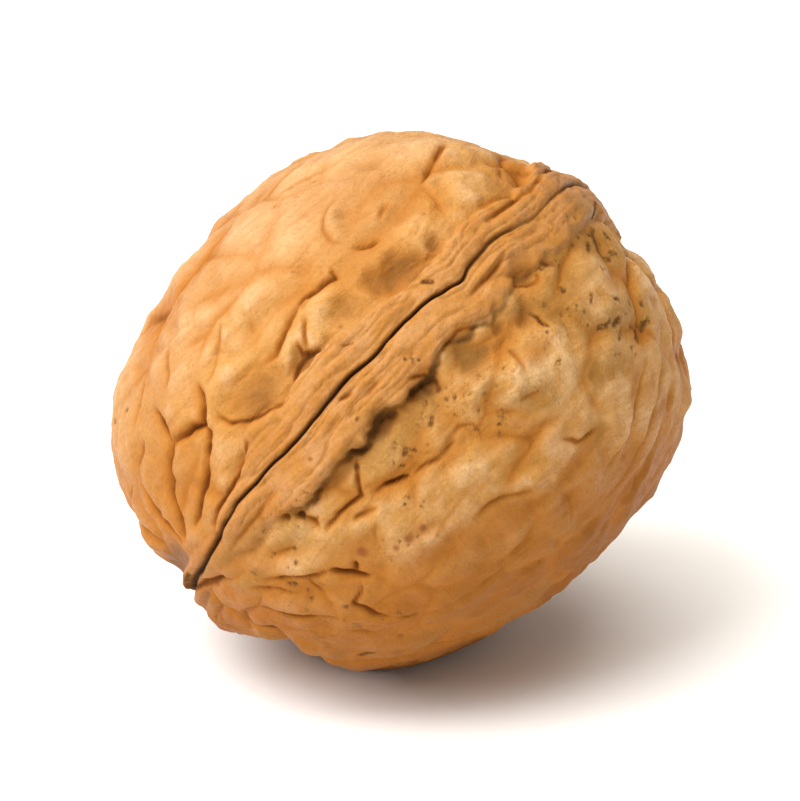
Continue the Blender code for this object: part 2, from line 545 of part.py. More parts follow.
def build():
    """Clears the scene and makes the walnut in a collection of its own."""
    for old in list(bpy.data.objects):
        bpy.data.objects.remove(old)
    collection = bpy.data.collections.new("walnut")
    bpy.context.scene.collection.children.link(collection)
    mesh = bpy.data.meshes.new("walnut")
    shell = make_shell()
    shell.to_mesh(mesh)
    shell.free()
    mesh.shade_smooth()
    mesh.materials.append(shell_material())
    collection.objects.link(bpy.data.objects.new("walnut", mesh))


build()
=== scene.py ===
"""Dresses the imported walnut: a fine shell over the solid, its colours, a white table and soft light.

The fine shell repeats the shape rules of the solid on a closer grid, with narrower furrows and a
finer skin. Places on the nut are (latitude, longitude) in degrees: latitude 90 is the apex and
-90 the stem end, longitude 0 the front suture, 90 one cheek, -90 the other and 180 the rear
suture. Heights and widths on the shell are in millimetres.
"""

import itertools
import math

import bmesh
import bpy
import numpy as np
from mathutils import Matrix, Vector


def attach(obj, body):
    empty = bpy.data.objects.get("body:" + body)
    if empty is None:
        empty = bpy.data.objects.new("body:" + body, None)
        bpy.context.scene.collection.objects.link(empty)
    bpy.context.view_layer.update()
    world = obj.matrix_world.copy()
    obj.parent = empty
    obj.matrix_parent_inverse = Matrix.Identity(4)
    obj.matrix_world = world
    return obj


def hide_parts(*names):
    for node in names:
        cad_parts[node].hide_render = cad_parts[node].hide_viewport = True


MM = 0.001

# The nut's driving dimensions in millimetres, as in the solid
HALF_LENGTH = 18.83
HALF_ACROSS_CHEEKS = 17.12
HALF_ACROSS_SUTURES = 17.35
SQUARENESS = 2.2
MEAN_RADIUS = 17.6

# Attitude and place, as in the solid
APEX_RISE = 36.9
APEX_HEADING = 20.5
ROLL = 138.9
CENTRE = (-0.16, -0.07, 17.7)

# Angles from straight down at which the relief begins, round the flat, and is full
REST_FADE_FROM = 17.0
REST_FADE_TO = 29.0

# The fine grid: steps along each side of a cube, how they crowd towards the front and the suture,
# how far from the suture rows still follow its line, and the finest cut that they can show
STEPS_A_SIDE = 128
FRONT_CROWDING = 0.4
SUTURE_CROWDING = 0.7
SUTURE_CROWD_WIDTH = 0.27
ROWS_FOLLOW_WITHIN = 30.0
FINEST_WIDTH = 0.10

# Broad swellings and flats: latitude, longitude, spread in degrees, height
SWELLINGS = [
    (-60, -81, 24, 0.8),
    (65, -81, 18, -1.1),
    (50, 99, 22, 0.9),
    (-25, 99, 26, -0.6),
    (-65, 99, 9, -1.3),
    (-25, -81, 14, -0.4),
    (74, 78, 9, -0.9),
    (89, 99, 5, -0.5),
    (84, 99, 4.5, -0.6),
    (78, 38, 6, -0.55),
    (78, 160, 6, -0.5),
    (71, 99, 8, 0.45),
    (-79, 99, 8, 0.75),
    (-66, 99, 5, -0.7),
    (-63, 71, 5, -0.6),
    (-63, 127, 5, -0.6),
    (-54, 99, 6, -0.2),
    (-83.4, -81, 5, 0.33),
    (-56, -81, 6, 0.2),
    (-6, -81, 5, 0.45),
    (15, -81, 8, 0.33),
]

# The suture's line: angle round the nut from the front (apex 90, stem -90), and how far
# it strays from the middle towards the cheek at longitude 90, in degrees
SUTURE_LINE = [
    (-90, 1.2), (-75, 2.1), (-59, 2.5), (-49, 1.5), (-41, 0.6), (-31, 0.5), (-22, 0.6), (-15, -0.2),
    (-9, -1.2), (-4, -1.6), (2, -1.5), (11, -2.7), (17, -3.1), (23, -2.6), (27, -2.1), (30, -3.2),
    (35, -4.4), (39, -4.9), (45, -4.4), (50, -4.1), (55, -4.8), (61, -6.0), (67, -6.8), (77, -7.8),
    (83, -7.1), (95, -5.0), (110, -2.0), (130, 0.8), (155, 1.6), (180, 0.0), (205, -1.6), (230, -0.8),
    (250, 0.6),
]

# The lip on each side of the crack: angle round the nut, its width, its rise over the cheek, and
# the depth of the groove under its outer edge
LEFT_LIP = [
    (-90, 0.8, 0.10, 0.00), (-60, 0.8, 0.15, 0.00), (-50, 0.8, 0.20, 0.05), (-40, 1.1, 0.30, 0.10),
    (-34, 1.7, 0.35, 0.10), (-29, 2.7, 0.50, 0.20), (-20, 2.5, 0.50, 0.15), (-10, 2.6, 0.60, 0.30),
    (0, 2.45, 0.55, 0.20), (10, 2.3, 0.50, 0.15), (19, 1.9, 0.50, 0.25), (28, 2.3, 0.45, 0.20),
    (35, 2.0, 0.40, 0.10), (50, 1.9, 0.35, 0.05), (60, 2.1, 0.35, 0.10), (72, 2.4, 0.45, 0.15),
    (85, 2.5, 0.50, 0.15), (120, 2.5, 0.45, 0.15), (160, 2.8, 0.50, 0.20), (200, 2.5, 0.45, 0.20),
    (240, 1.6, 0.25, 0.10),
]
RIGHT_LIP = [
    (-90, 0.9, 0.10, 0.00), (-60, 1.2, 0.15, 0.00), (-47, 2.0, 0.25, 0.15), (-36, 2.7, 0.40, 0.25),
    (-28, 3.1, 0.60, 0.40), (-20, 2.9, 0.75, 0.55), (-11, 3.4, 0.80, 0.60), (-5, 3.05, 0.80, 0.60),
    (0, 3.25, 0.75, 0.55), (4, 2.9, 0.70, 0.55), (9, 3.5, 0.50, 0.45), (14, 2.85, 0.50, 0.40),
    (19, 2.8, 0.50, 0.40), (24, 3.1, 0.40, 0.30), (32, 2.9, 0.30, 0.20), (45, 2.7, 0.25, 0.10),
    (60, 2.6, 0.30, 0.10), (90, 2.4, 0.45, 0.15), (150, 2.7, 0.50, 0.20), (200, 2.7, 0.50, 0.20),
    (240, 1.7, 0.25, 0.10),
]

# The lips' crest, the step at their outer edge, how ragged that edge is, and half the width over
# which one lip gives way to the other
LIP_CREST = 0.10
LIP_STEP = 0.36
LIP_RAGGED = 0.16
LIPS_BLEND = 0.25

# The groove beside a lip: how far out it lies and its half-width
GROOVE_OUT = 0.28
GROOVE_WIDTH = 0.34

# The fine strands on the lips: width, cells in a radius lengthwise, height and widest cut
STRAND_WIDTH = 0.42
STRAND_STRETCH = 4.4
STRAND_HEIGHT = 0.20
STRAND_WIDEST = 0.5

# The crack: angle round the nut, half-width, and how deep and dark it is, 0 to 1
CRACK = [
    (-90, 0.26, 1.0), (-75, 0.20, 1.0), (-66, 0.15, 1.0), (-58, 0.12, 1.0), (-45, 0.10, 0.95),
    (-20, 0.11, 0.95), (-8, 0.14, 1.0), (0, 0.11, 0.95), (22, 0.10, 0.90), (27, 0.10, 0.80),
    (32, 0.13, 0.60), (38, 0.12, 0.55), (48, 0.10, 0.34), (56, 0.10, 0.30), (66, 0.12, 0.55),
    (80, 0.12, 0.60), (110, 0.12, 0.70), (180, 0.13, 0.75), (225, 0.16, 0.90), (250, 0.26, 1.0),
]
CRACK_DEPTH = 0.60

# Furrows: depth, half-width, path
FURROWS = [
    # The leaf-shaped lobes beside the stem, on the cheek at longitude -90
    (0.90, 0.45, [(-31, -28), (-33, -24), (-36.4, -21), (-39, -24), (-41, -25), (-45, -28)]),
    (1.00, 0.45, [(-45, -28), (-50, -26), (-53, -23.5), (-56, -22), (-59.5, -15), (-63, -10)]),
    (0.65, 0.40, [(-42.5, -39), (-44, -34), (-45, -28)]),
    (0.75, 0.40, [(-36.4, -21), (-36.3, -18), (-38, -16), (-44, -12.5), (-50, -9.3), (-56, -7)]),
    (0.55, 0.36, [(-30.5, -7.5), (-36.5, -5), (-40.5, -3.6), (-44, -3), (-52, -1.2)]),
    (0.85, 0.42, [(-61.5, -39), (-63, -35), (-64.5, -28.5), (-64.6, -21), (-65, -10)]),
    (0.40, 0.40, [(-50, -40), (-57, -43), (-61.5, -39)]),
    (0.26, 0.42, [(-70, -72), (-67, -58), (-62, -50)]),
    (0.20, 0.40, [(-37, -51.5), (-43, -48), (-50, -47)]),
    (0.22, 0.40, [(-30, -45), (-35, -39.5), (-37, -38)]),
    # The same cheek beside the middle of the suture
    (0.55, 0.35, [(-32, -18), (-30.5, -14.5), (-27.5, -11), (-25, -9.9), (-19.5, -8.6)]),
    (0.25, 0.40, [(-17, -19.6), (-21.5, -19.8), (-25.6, -20.5)]),
    (0.26, 0.45, [(-17.5, -34), (-20.5, -31.3), (-25, -27.5), (-28.3, -25.8)]),
    (0.18, 0.40, [(-12.5, -29), (-15, -25)]),
    (0.70, 0.35, [(-6, -11), (-9, -12), (-12, -11.8), (-14.5, -10)]),
    (0.50, 0.30, [(-7, -12), (-9.3, -13.1), (-8.5, -15)]),
    (0.55, 0.38, [(-2.8, -22.6), (-0.8, -23.5), (1.8, -22.8), (6.8, -21.9), (7.5, -23.8)]),
    (0.45, 0.50, [(-2.8, -22.6), (-6, -21.3), (-8.8, -19.7), (-14, -17.5), (-18, -18.5)]),
    (0.35, 0.35, [(-3.5, -19), (-5.5, -16.3), (-7.5, -13.2)]),
    (0.40, 0.60, [(14.5, -24.8), (16.5, -23.8), (19.5, -23)]),
    (0.24, 0.45, [(19, -41), (15.5, -39), (13.2, -36.5), (11.9, -33.4), (12, -30), (13, -27.5)]),
    (0.25, 0.45, [(26.5, -30.5), (23.5, -28)]),
    (0.20, 0.50, [(8, -55), (14, -54), (20, -53), (25, -54)]),
    (0.50, 0.50, [(35.5, -32), (38, -35), (42, -40), (46, -46)]),
    (0.30, 0.45, [(54.5, -35), (55, -32), (53, -28)]),
    # On the lips
    (0.45, 0.32, [(41, -11.5), (48, -13.7), (52, -15.4), (56, -17.8), (60, -21.5), (64, -28)]),
    (0.50, 0.42, [(64, -28), (69, -38), (73, -50), (76, -70)]),
    (0.20, 0.25, [(20.5, -7), (22, -6)]),
    (0.20, 0.25, [(-1.5, -7.5), (0.5, -6.5)]),
    (0.15, 0.25, [(-12, -6), (-11, -3)]),
    (0.15, 0.22, [(12, -7), (15, -6.5), (17, -7)]),
    (0.25, 0.25, [(-6, 4), (-1, 3.5), (1, 4)]),
    (0.20, 0.25, [(-16, 4.5), (-11, 3.5)]),
    (0.35, 0.20, [(-9.5, 0.6), (-8, 1.2), (-6.5, 1.4)]),
    (0.35, 0.30, [(27, 2), (30, 1.5), (34, 1), (38, -1)]),
    (0.30, 0.30, [(-33, 6), (-38, 6.5), (-42, 7), (-47, 7.5), (-52, 9)]),
    (0.15, 0.25, [(33, -1.5), (36, -2), (40, -3)]),
    # Round the hollows beside the lip, on the cheek at longitude 90
    (0.55, 0.28, [(4.7, 7.5), (7.5, 8.7), (8.8, 11.3), (8, 13)]),
    (0.40, 0.35, [(14.3, 6.8), (18.8, 6.5), (22.8, 8.2)]),
    (0.42, 0.30, [(36, 5.5), (38.3, 8.7), (41, 9.5), (42.5, 8)]),
    # The same cheek towards the stem
    (0.75, 0.42, [(-17.3, 21), (-15.2, 21.3), (-12.6, 22.2), (-9.4, 23.3)]),
    (0.38, 0.50, [(-9.4, 23.3), (-5.8, 23.5), (-1.4, 24.1), (3, 23.8)]),
    (0.50, 0.35, [(-16.5, 13), (-18, 15.7), (-20, 19.8), (-23.5, 19.7), (-30, 20.5)]),
    (0.38, 0.40, [(-19, 23.5), (-21.8, 23.5), (-24.8, 23.1)]),
    (0.20, 0.45, [(-20.5, 26), (-23.4, 28.6), (-24.4, 33.3)]),
    (0.65, 0.38, [(-31.2, 32.3), (-32.7, 34.6)]),
    (0.75, 0.38, [(-36.4, 30.6), (-35, 32.5), (-33.7, 34), (-30.9, 37.5)]),
    (0.45, 0.50, [(-36.4, 30.6), (-40, 29.5), (-43, 28), (-47, 26), (-52, 24)]),
    (0.35, 0.35, [(-42.2, 29.5), (-42.3, 33), (-42, 36.3)]),
    (0.50, 0.40, [(-33.5, 39), (-37.5, 43), (-36, 46), (-35.2, 49.5), (-31, 53.5), (-28, 55)]),
    (0.40, 0.40, [(-56, 24), (-50, 29.5), (-46, 33)]),
    (0.45, 0.40, [(-60, 33), (-58, 35), (-53, 39), (-48, 43), (-43, 46)]),
    (0.25, 0.40, [(-58, 43), (-52, 48), (-47, 52)]),
    (0.30, 0.40, [(-44, 51), (-42, 53), (-38, 57)]),
    (0.45, 0.30, [(-86, 12), (-74, 14), (-66, 18)]),
    (0.60, 0.28, [(-33.7, 13.8), (-33, 14.5), (-32.4, 15.5)]),
    (0.40, 0.30, [(-32.4, 15.5), (-32, 17), (-31, 19.5)]),
    (0.40, 0.35, [(-36.5, 11.5), (-35, 12.8)]),
    (0.30, 0.40, [(-44.5, 18.5), (-42, 19.5), (-39.5, 20.3)]),
    (0.70, 0.70, [(-62, 17), (-70, 14), (-76, 13)]),
    (0.22, 0.30, [(-85, 55), (-77, 66), (-69, 70), (-63, 70)]),
    (0.20, 0.30, [(-83, 90), (-74, 95), (-66, 97)]),
    (0.22, 0.28, [(-80, 38), (-72, 45), (-64, 50), (-58, 52)]),
    (0.18, 0.28, [(-70, 58), (-62, 60), (-55, 60)]),
    (0.18, 0.28, [(-66, 42), (-59, 46), (-52, 47)]),
    # The same cheek towards the apex and the far outline
    (0.30, 0.45, [(1.2, 22.7), (6, 22.4), (8.3, 23.3), (8.6, 25.6), (7.2, 28.2)]),
    (0.30, 0.45, [(-4, 40.5), (0, 40.3), (4, 42), (8.5, 45)]),
    (0.35, 0.40, [(20.5, 41.5), (22.2, 45), (25.5, 47), (27.5, 47.5)]),
    (0.25, 0.40, [(24, 29), (19, 27)]),
    (0.25, 0.35, [(25, 16), (25, 20), (24, 23)]),
    (0.30, 0.25, [(35.3, 15.7), (35.3, 19.7)]),
    (0.22, 0.70, [(-35, 57), (-25, 56), (-15, 57), (-5, 57), (5, 56)]),
    (0.22, 0.60, [(-28, 66), (-15, 65), (0, 66), (12, 64)]),
    (0.25, 0.50, [(14, 52), (13, 57), (10, 61)]),
    (0.24, 0.50, [(22, 58), (30, 58), (40, 55), (48, 53)]),
    (0.24, 0.50, [(18, 66), (28, 66), (38, 64), (48, 62)]),
    (0.22, 0.50, [(10, 74), (25, 75), (38, 74)]),
]

# Hollows and dimples: depth, half-width, path
HOLLOWS = [
    (0.50, 0.75, [(-8.5, -12.5), (-13, -11.5)]),
    (0.45, 1.50, [(-17, -14), (-26, -14.5)]),
    (0.30, 0.70, [(-28.5, -13)]),
    (0.45, 1.10, [(2, -14.5), (6, -14)]),
    (0.60, 1.10, [(14, -14.5), (20, -14.3), (22, -14)]),
    (0.50, 0.70, [(28, -13.8)]),
    (0.25, 1.10, [(50, -22)]),
    (0.70, 0.80, [(5, 10.8), (6.5, 11)]),
    (0.75, 0.85, [(-4.9, 10.8), (-8.5, 11.4)]),
    (0.45, 0.80, [(-11, 12.2), (-15, 12), (-20, 12.2), (-24, 12.5)]),
    (0.50, 1.45, [(18.1, 11.5)]),
    (0.50, 0.65, [(26.9, 11.8)]),
    (0.45, 1.00, [(39.5, 6)]),
    (0.34, 0.80, [(33, 14)]),
    (0.28, 1.30, [(-27, 46), (-27, 52)]),
    (0.30, 1.20, [(-6, 48), (-10, 49.5)]),
    (0.22, 0.90, [(44, -24)]), (0.22, 0.90, [(38, -28)]), (0.26, 1.00, [(29.5, -46.5)]),
    (0.24, 0.80, [(26.5, -26)]), (0.24, 0.90, [(18, -35)]), (0.22, 0.90, [(3, -29)]),
    (0.24, 1.10, [(15, -52)]), (0.24, 1.20, [(20, -63)]), (0.24, 1.10, [(-12, -46)]),
    (0.22, 0.90, [(-22, -40)]), (0.24, 0.90, [(-33, -49)]), (0.22, 0.90, [(-26, -49)]),
    (0.24, 1.10, [(-38, -54)]), (0.26, 0.90, [(-42, 33)]), (0.26, 1.00, [(-46, 46)]),
    (0.24, 0.90, [(-54, 41)]), (0.26, 1.00, [(-54, 53)]), (0.24, 0.80, [(-57, 36)]),
    (0.28, 1.00, [(36, 38.5)]), (0.24, 1.00, [(27, 53)]), (0.26, 1.00, [(31, 62)]),
    (0.24, 1.00, [(13, 55)]),
]

# Ridges: height, half-width, path
RIDGES = [
    (0.25, 0.60, [(-25, -26), (-30, -23), (-34, -20.5)]),
    (0.20, 0.50, [(17, -36.5), (15.5, -35.5), (13.6, -32.5), (13.8, -28.5)]),
    (0.26, 0.45, [(30, 0), (34, -0.8), (38, -2), (42, -2)]),
    (0.30, 0.50, [(6, 40.5), (11, 43), (15, 45)]),
    (0.30, 0.70, [(31.5, 10)]),
    (0.25, 0.50, [(27, 56), (31, 56), (36, 54.5)]),
    (0.18, 0.30, [(53.5, 0.5)]),
    (0.20, 0.35, [(-36, 3), (-42, 3.6), (-50, 4.5)]),
    (0.25, 0.50, [(-17.5, 23.5), (-21, 25.3), (-25, 25)]),
    (0.30, 2.20, [(84, -75)]),
]

# The net of furrows that covers the shell: its cells and how they stretch towards the stem, its
# furrows' depth and width, its share on the side whose furrows are listed, what the lips take away from
# it, and the rise of its cells
NET_SEED = 11
NET_CELLS = 190
NET_DENSER_AT_STEM = 1.3
NET_FAN = 0.45
NET_LENGTHWISE = 0.8
NET_LENGTHWISE_AT_STEM = 0.52
NET_SHIFT = 0.10
NET_DEPTH = 0.62
NET_WIDTH = 0.050
NET_ON_DRAWN_SIDE = 0.45
NET_LOST_ON_LIPS = 0.85
CELL_CROWN = 0.30

# A furrow's dark line of painted shade along its bottom: its width, and the furrow depth from which it
# is at its darkest
LINE_WIDTH = 0.19
LINE_FULL_AT = 0.6

# Small pits: depth, smallest and largest half-width, and their length's share in their distance,
# which draws them out lengthwise
PIT_DEPTH = 0.16
PIT_SMALLEST = 0.07
PIT_LARGEST = 0.20
PIT_SQUEEZE = 0.75

# Heights of the wrinkles on the rough cheek and elsewhere, of the lumps, of the slow waves and of
# the skin's two grades of grain
WRINKLE_HEIGHT = 0.13
WRINKLE_ELSEWHERE = 0.03
LUMP_HEIGHT = 0.32
WAVE_HEIGHT = 0.22
SKIN_HEIGHTS = (0.050, 0.030)

# Hollows that noise sets beside the suture where none is listed: depth, and the distances
# from the lip at which they begin and are full, and end and are still full
SIDE_HOLLOW_DEPTH = 0.75
SIDE_HOLLOW_BEGINS = (-0.1, 0.5)
SIDE_HOLLOW_ENDS = (2.9, 0.9)

# Where along the nut's own axes, from -1 to 1, the sharper front, the rough cheek and its rough
# patch at the stem begin and are full
FRONT_EDGE = (-0.4, 0.5)
ROUGH_CHEEK_EDGE = (-0.1, 0.6)
ROUGH_STEM_EDGE = (-0.80, -0.92)
ROUGH_STEM_SIDE = (0.0, 0.2)

# Side whose furrows are listed one by one: its middle, and the angles at which it ends and is full
DRAWN_SIDE = (0, 9)
DRAWN_SIDE_EDGE = (78.0, 55.0)

# Smoother part of one cheek: its middle, the angles at which it ends and is full, what it loses
SMOOTHER = (14, -52)
SMOOTHER_EDGE = (38.0, 16.0)
SMOOTHER_BY = 0.5

# Depths at which a furrow's colour and painted shade, and a hollow's painted shade, are in full
FURROW_FULL_AT = 0.5
HOLLOW_FULL_AT = 0.6

# Noise: number of grid cells along each side of its repeating block, and its seed
NOISE_BLOCK = 64
NOISE_SEED = 5

# Dark flecks, rust-coloured spots, and patches of dirt and painted shade: half-width, path
FLECKS = [
    (0.16, [(7.5, 4.5)]), (0.16, [(8.5, 5.5)]), (0.16, [(6.5, 3.5)]), (0.14, [(7.2, 5.4)]),
    (0.22, [(-39.5, 20.3)]), (0.18, [(-44.5, 18.5)]), (0.22, [(-33, 14.5), (-32.6, 15.4)]),
    (0.20, [(-4.7, 19.8)]), (0.17, [(-9, 6.5)]), (0.15, [(-13.8, 27.3)]), (0.20, [(12.7, 27.6)]),
    (0.14, [(35.3, 15.7), (35.3, 19.7)]), (0.18, [(38.5, 15.7)]), (0.18, [(40, 20.5)]),
    (0.14, [(41.5, 21)]), (0.18, [(43.5, 25)]), (0.24, [(44, 15), (44, 16)]), (0.26, [(45.5, 8)]),
    (0.16, [(20.3, -7.2), (22, -6)]), (0.12, [(-1.5, -7.5), (0.5, -6.5)]),
    (0.30, [(-43, 68), (-46, 70)]), (0.26, [(-17, 14)]), (0.22, [(-88, 0), (-80, 2), (-72, 2)]),
    (0.20, [(-86, 11), (-81, 13), (-75, 14)]), (0.22, [(-66, 48), (-62, 52)]),
    (0.20, [(64, 10), (66, 13)]), (0.22, [(61, 20), (63, 24)]), (0.20, [(69, 14), (70, 19)]),
    (0.20, [(56, 22)]), (0.18, [(52, 30), (53, 33)]), (0.20, [(47, 33)]), (0.18, [(58, 33)]),
    (0.28, [(67, 8), (65, 12), (63, 17), (61, 19)]), (0.22, [(61, 13), (58, 14)]), (0.20, [(60, 8)]),
    (0.24, [(66, 25), (63, 23)]), (0.16, [(48.5, 23.5), (46.5, 25.5)]),
    (0.28, [(49, 36.5), (47, 35.5)]), (0.22, [(46, 33.5), (44.5, 31.5)]), (0.16, [(42.5, 28)]),
    (0.22, [(56.5, 50), (55, 48)]), (0.24, [(52, 46), (50, 47.5)]), (0.16, [(55, 39), (56, 36.5)]),
    (0.14, [(42, 8)]), (0.15, [(48, 10)]), (0.24, [(78, -9), (76, -4), (73, 2)]),
]
RUSSET = [
    (0.42, [(-18, 34.1)]), (0.38, [(-14.2, 34.3)]), (0.28, [(-21.2, 34.3)]), (0.20, [(-22, 5.5)]),
    (0.50, [(-28, 31)]), (0.30, [(45.5, 7), (46.5, 8.5)]),
]
DIRT_AND_SHADE = [
    (1.50, [(18, 12)]), (0.90, [(31.5, 10)]), (1.20, [(15.5, 22)]), (1.30, [(20, 27), (24, 30)]),
    (0.90, [(5, 13), (-6, 15), (-14, 15)]), (1.10, [(27, 48)]), (1.60, [(50, 12), (44, 13)]),
    (1.90, [(60, 13), (67, 21)]), (1.70, [(49, 35), (57, 45)]), (1.20, [(37, 16), (42, 26)]),
    (0.90, [(66, -3), (76, -6)]), (0.90, [(-34, 14), (-40, 18)]), (0.80, [(-42, 9), (-58, 9)]),
    (0.80, [(-62, 8), (-80, 6)]), (0.90, [(-52, 22), (-60, 20)]), (0.80, [(-9, -14)]),
    (1.30, [(36, 38), (42, 42)]), (1.00, [(-60, 60), (-72, 62)]), (0.80, [(-68, 36), (-76, 38)]),
    (0.90, [(-54, 72), (-62, 84)]),
]

# Pitted dark patches: middle (latitude, longitude), spread in degrees, how many pits
PITTED = [
    ((61, 14), 5.0, 26), ((66, 22), 3.0, 10), ((50, 37), 6.0, 36), ((57, 46), 4.0, 14),
    ((39, 18), 5.0, 14), ((44, 8), 3.0, 6), ((5, 16), 4.0, 12), ((-8, 17), 4.0, 10),
    ((14, 20), 5.0, 10), ((-45, 30), 9.0, 8), ((-34, 16), 3.0, 4), ((-18, 34), 2.0, 5),
    ((-42, 55), 8.0, 8),
]
PITS_ELSEWHERE = 70
PIT_SEED = 3

# Camera: as far away as the photograph's, with a longer lens aimed at the nut
CAMERA_DISTANCE = 0.60
CAMERA_ELEVATION = 25.0
PHOTO_LENS = 118.3
CLOSER = 3.4
SENSOR_WIDTH = 36.0

# Soft lights: name, place, side, watts, colour. Then the surround's colour and strength
LIGHTS = [
    ("key", (-0.66, -0.34, 0.85), 1.0, 19.0, (1.0, 1.0, 1.0)),
    ("top", (-0.10, 0.0, 1.1), 1.3, 15.0, (1.0, 0.97, 0.90)),
]
SURROUND = (1.0, 0.94, 0.86, 1.0)
SURROUND_STRENGTH = 0.40

# The table: side, how far below the nut it lies, colour
TABLE_SIDE = 3.0
TABLE_DROP = 0.0002
TABLE_WHITE = (0.93, 0.93, 0.93, 1.0)


def direction(latitude, longitude):
    """Unit direction, in the nut's own axes, of a latitude and longitude in degrees."""
    lat, lon = np.radians(latitude), np.radians(longitude)
    return np.stack([np.cos(lat) * np.cos(lon), np.cos(lat) * np.sin(lon), np.sin(lat)], axis=-1)


def smooth_step(low, high, value):
    """0 below low, 1 above high, and a smooth rise between; high may be the smaller one."""
    t = np.clip((value - low) / (high - low), 0.0, 1.0)
    return t * t * (3.0 - 2.0 * t)


def angle_to(directions, latitude, longitude):
    """Angle in degrees from each direction to a place on the nut."""
    return np.degrees(np.arccos(np.clip(directions @ direction(latitude, longitude), -1.0, 1.0)))


def round_the_nut(table, angles, column=1):
    """Value from a column of a table whose first column is angles, smooth and joined up at 360."""
    numbers = np.array(table, float)
    at = np.concatenate([numbers[:, 0] - 360.0, numbers[:, 0], numbers[:, 0] + 360.0])
    value = np.tile(numbers[:, column], 3)
    slope = np.gradient(value, at)
    wrapped = (angles + 90.0) % 360.0 - 90.0
    i = np.clip(np.searchsorted(at, wrapped) - 1, 0, len(at) - 2)
    gap = at[i + 1] - at[i]
    t = (wrapped - at[i]) / gap
    start = (1.0 + 2.0 * t) * (1.0 - t) ** 2 * value[i] + t * (1.0 - t) ** 2 * gap * slope[i]
    end = t * t * (3.0 - 2.0 * t) * value[i + 1] + t * t * (t - 1.0) * gap * slope[i + 1]
    return start + end


def noise(points, scale, offset=0.0):
    """Smooth noise from -1 to 1 at points, bumps about 1 / scale across; offset picks another."""
    block = np.random.default_rng(NOISE_SEED).uniform(-1.0, 1.0, (NOISE_BLOCK,) * 3)
    spot = points * scale + offset + 500.0
    base = np.floor(spot).astype(int)
    part = smooth_step(0.0, 1.0, spot - base)
    total = np.zeros(len(points))
    for corner in itertools.product((0, 1), repeat=3):
        weight = np.prod(np.where(corner, part, 1.0 - part), axis=1)
        total += weight * block[tuple(((base + corner) % NOISE_BLOCK).T)]
    return total


def wander(directions, scale, amount):
    """Directions moved about a little by noise, so that drawn lines waver as grown ones do."""
    moved = [noise(directions, scale, offset) for offset in (3.1, 17.7, 31.3)]
    return directions + amount * np.stack(moved, axis=1)


def path_distance(directions, path):
    """Distance over the shell to a path, and how far along it the nearest point lies, 0 to 1."""
    points = direction(*np.array(path, float).T)
    if len(points) == 1:
        gap = np.linalg.norm(directions - points[0], axis=1)
        return gap * MEAN_RADIUS, np.full(len(directions), 0.5)
    lengths = np.linalg.norm(np.diff(points, axis=0), axis=1)
    reached = np.concatenate([[0.0], np.cumsum(lengths)]) / lengths.sum()
    nearest = np.full(len(directions), np.inf)
    along = np.zeros(len(directions))
    for i, length in enumerate(lengths):
        run = points[i + 1] - points[i]
        t = np.clip((directions - points[i]) @ run / length ** 2, 0.0, 1.0)
        gap = np.linalg.norm(directions - points[i] - t[:, None] * run, axis=1)
        closer = gap < nearest
        nearest[closer] = gap[closer]
        along[closer] = (reached[i] + t * (reached[i + 1] - reached[i]))[closer]
    return nearest * MEAN_RADIUS, along


def drawn(directions, features, sharpness, taper, line_share=0.0):
    """Deepest of the drawn features at each direction, and how near the middle of one it lies."""
    deepest = np.zeros(len(directions))
    middle = np.zeros(len(directions))
    for depth, half_width, path in features:
        gap, along = path_distance(directions, path)
        strength = 1.0 - taper * np.abs(2.0 * along - 1.0) ** 3
        line = np.exp(-(gap / LINE_WIDTH) ** 2)
        across = np.exp(-(gap / max(half_width, FINEST_WIDTH)) ** sharpness)
        deepest = np.maximum(deepest, depth * strength * (across + line_share * (line - across)))
        middle = np.maximum(middle, min(depth / LINE_FULL_AT, 1.0) * strength * line)
    return deepest, middle


def egg(directions):
    """Distance from the centre to the smooth body of the nut."""
    half = np.array([HALF_ACROSS_SUTURES, HALF_ACROSS_CHEEKS, HALF_LENGTH])
    radius = np.sum(np.abs(directions / half) ** SQUARENESS, axis=1) ** (-1.0 / SQUARENESS)
    for latitude, longitude, spread, height in SWELLINGS:
        radius += height * np.exp(-(angle_to(directions, latitude, longitude) / spread) ** 2)
    return radius


def suture_place(directions):
    """Angle round the nut, and distance in millimetres from the crack towards longitude 90."""
    angles = np.degrees(np.arctan2(directions[:, 2], directions[:, 0]))
    aside = np.degrees(np.arcsin(np.clip(directions[:, 1], -1.0, 1.0)))
    return angles, np.radians(aside - round_the_nut(SUTURE_LINE, angles)) * MEAN_RADIUS


def suture_relief(directions):
    """Height of the two lips, how far on one a point is, the crack, the groove beside, the width."""
    angles, aside = suture_place(wander(directions, 9.0, 0.006))
    right = smooth_step(-LIPS_BLEND, LIPS_BLEND, aside)
    left_lip = [round_the_nut(LEFT_LIP, angles, column) for column in (1, 2, 3)]
    right_lip = [round_the_nut(RIGHT_LIP, angles, column) for column in (1, 2, 3)]
    width, rise, groove = [a + right * (b - a) for a, b in zip(left_lip, right_lip)]
    ragged = noise(directions, 15.0, 13.0) + 0.5 * noise(directions, 34.0, 15.0)
    width = width * (1.0 + LIP_RAGGED * ragged)
    beyond = np.abs(aside) - width
    uneven = 0.62 + 0.75 * noise(directions, 8.0, 19.0)
    groove *= np.exp(-((beyond - GROOVE_OUT) / GROOVE_WIDTH) ** 2) * uneven
    on_lip = smooth_step(width + 0.5 * LIP_STEP, width - 0.5 * LIP_STEP, np.abs(aside))
    crest = np.sin(math.pi * np.clip(np.abs(aside) / width, 0.0, 1.0))
    angles, aside = suture_place(wander(directions, 22.0, 0.004))
    crack_width = np.maximum(round_the_nut(CRACK, angles, 1), FINEST_WIDTH)
    crack = round_the_nut(CRACK, angles, 2) * np.exp(-(aside / crack_width) ** 2)
    return (rise + LIP_CREST * crest) * on_lip, on_lip, crack, np.maximum(groove, 0.0), width


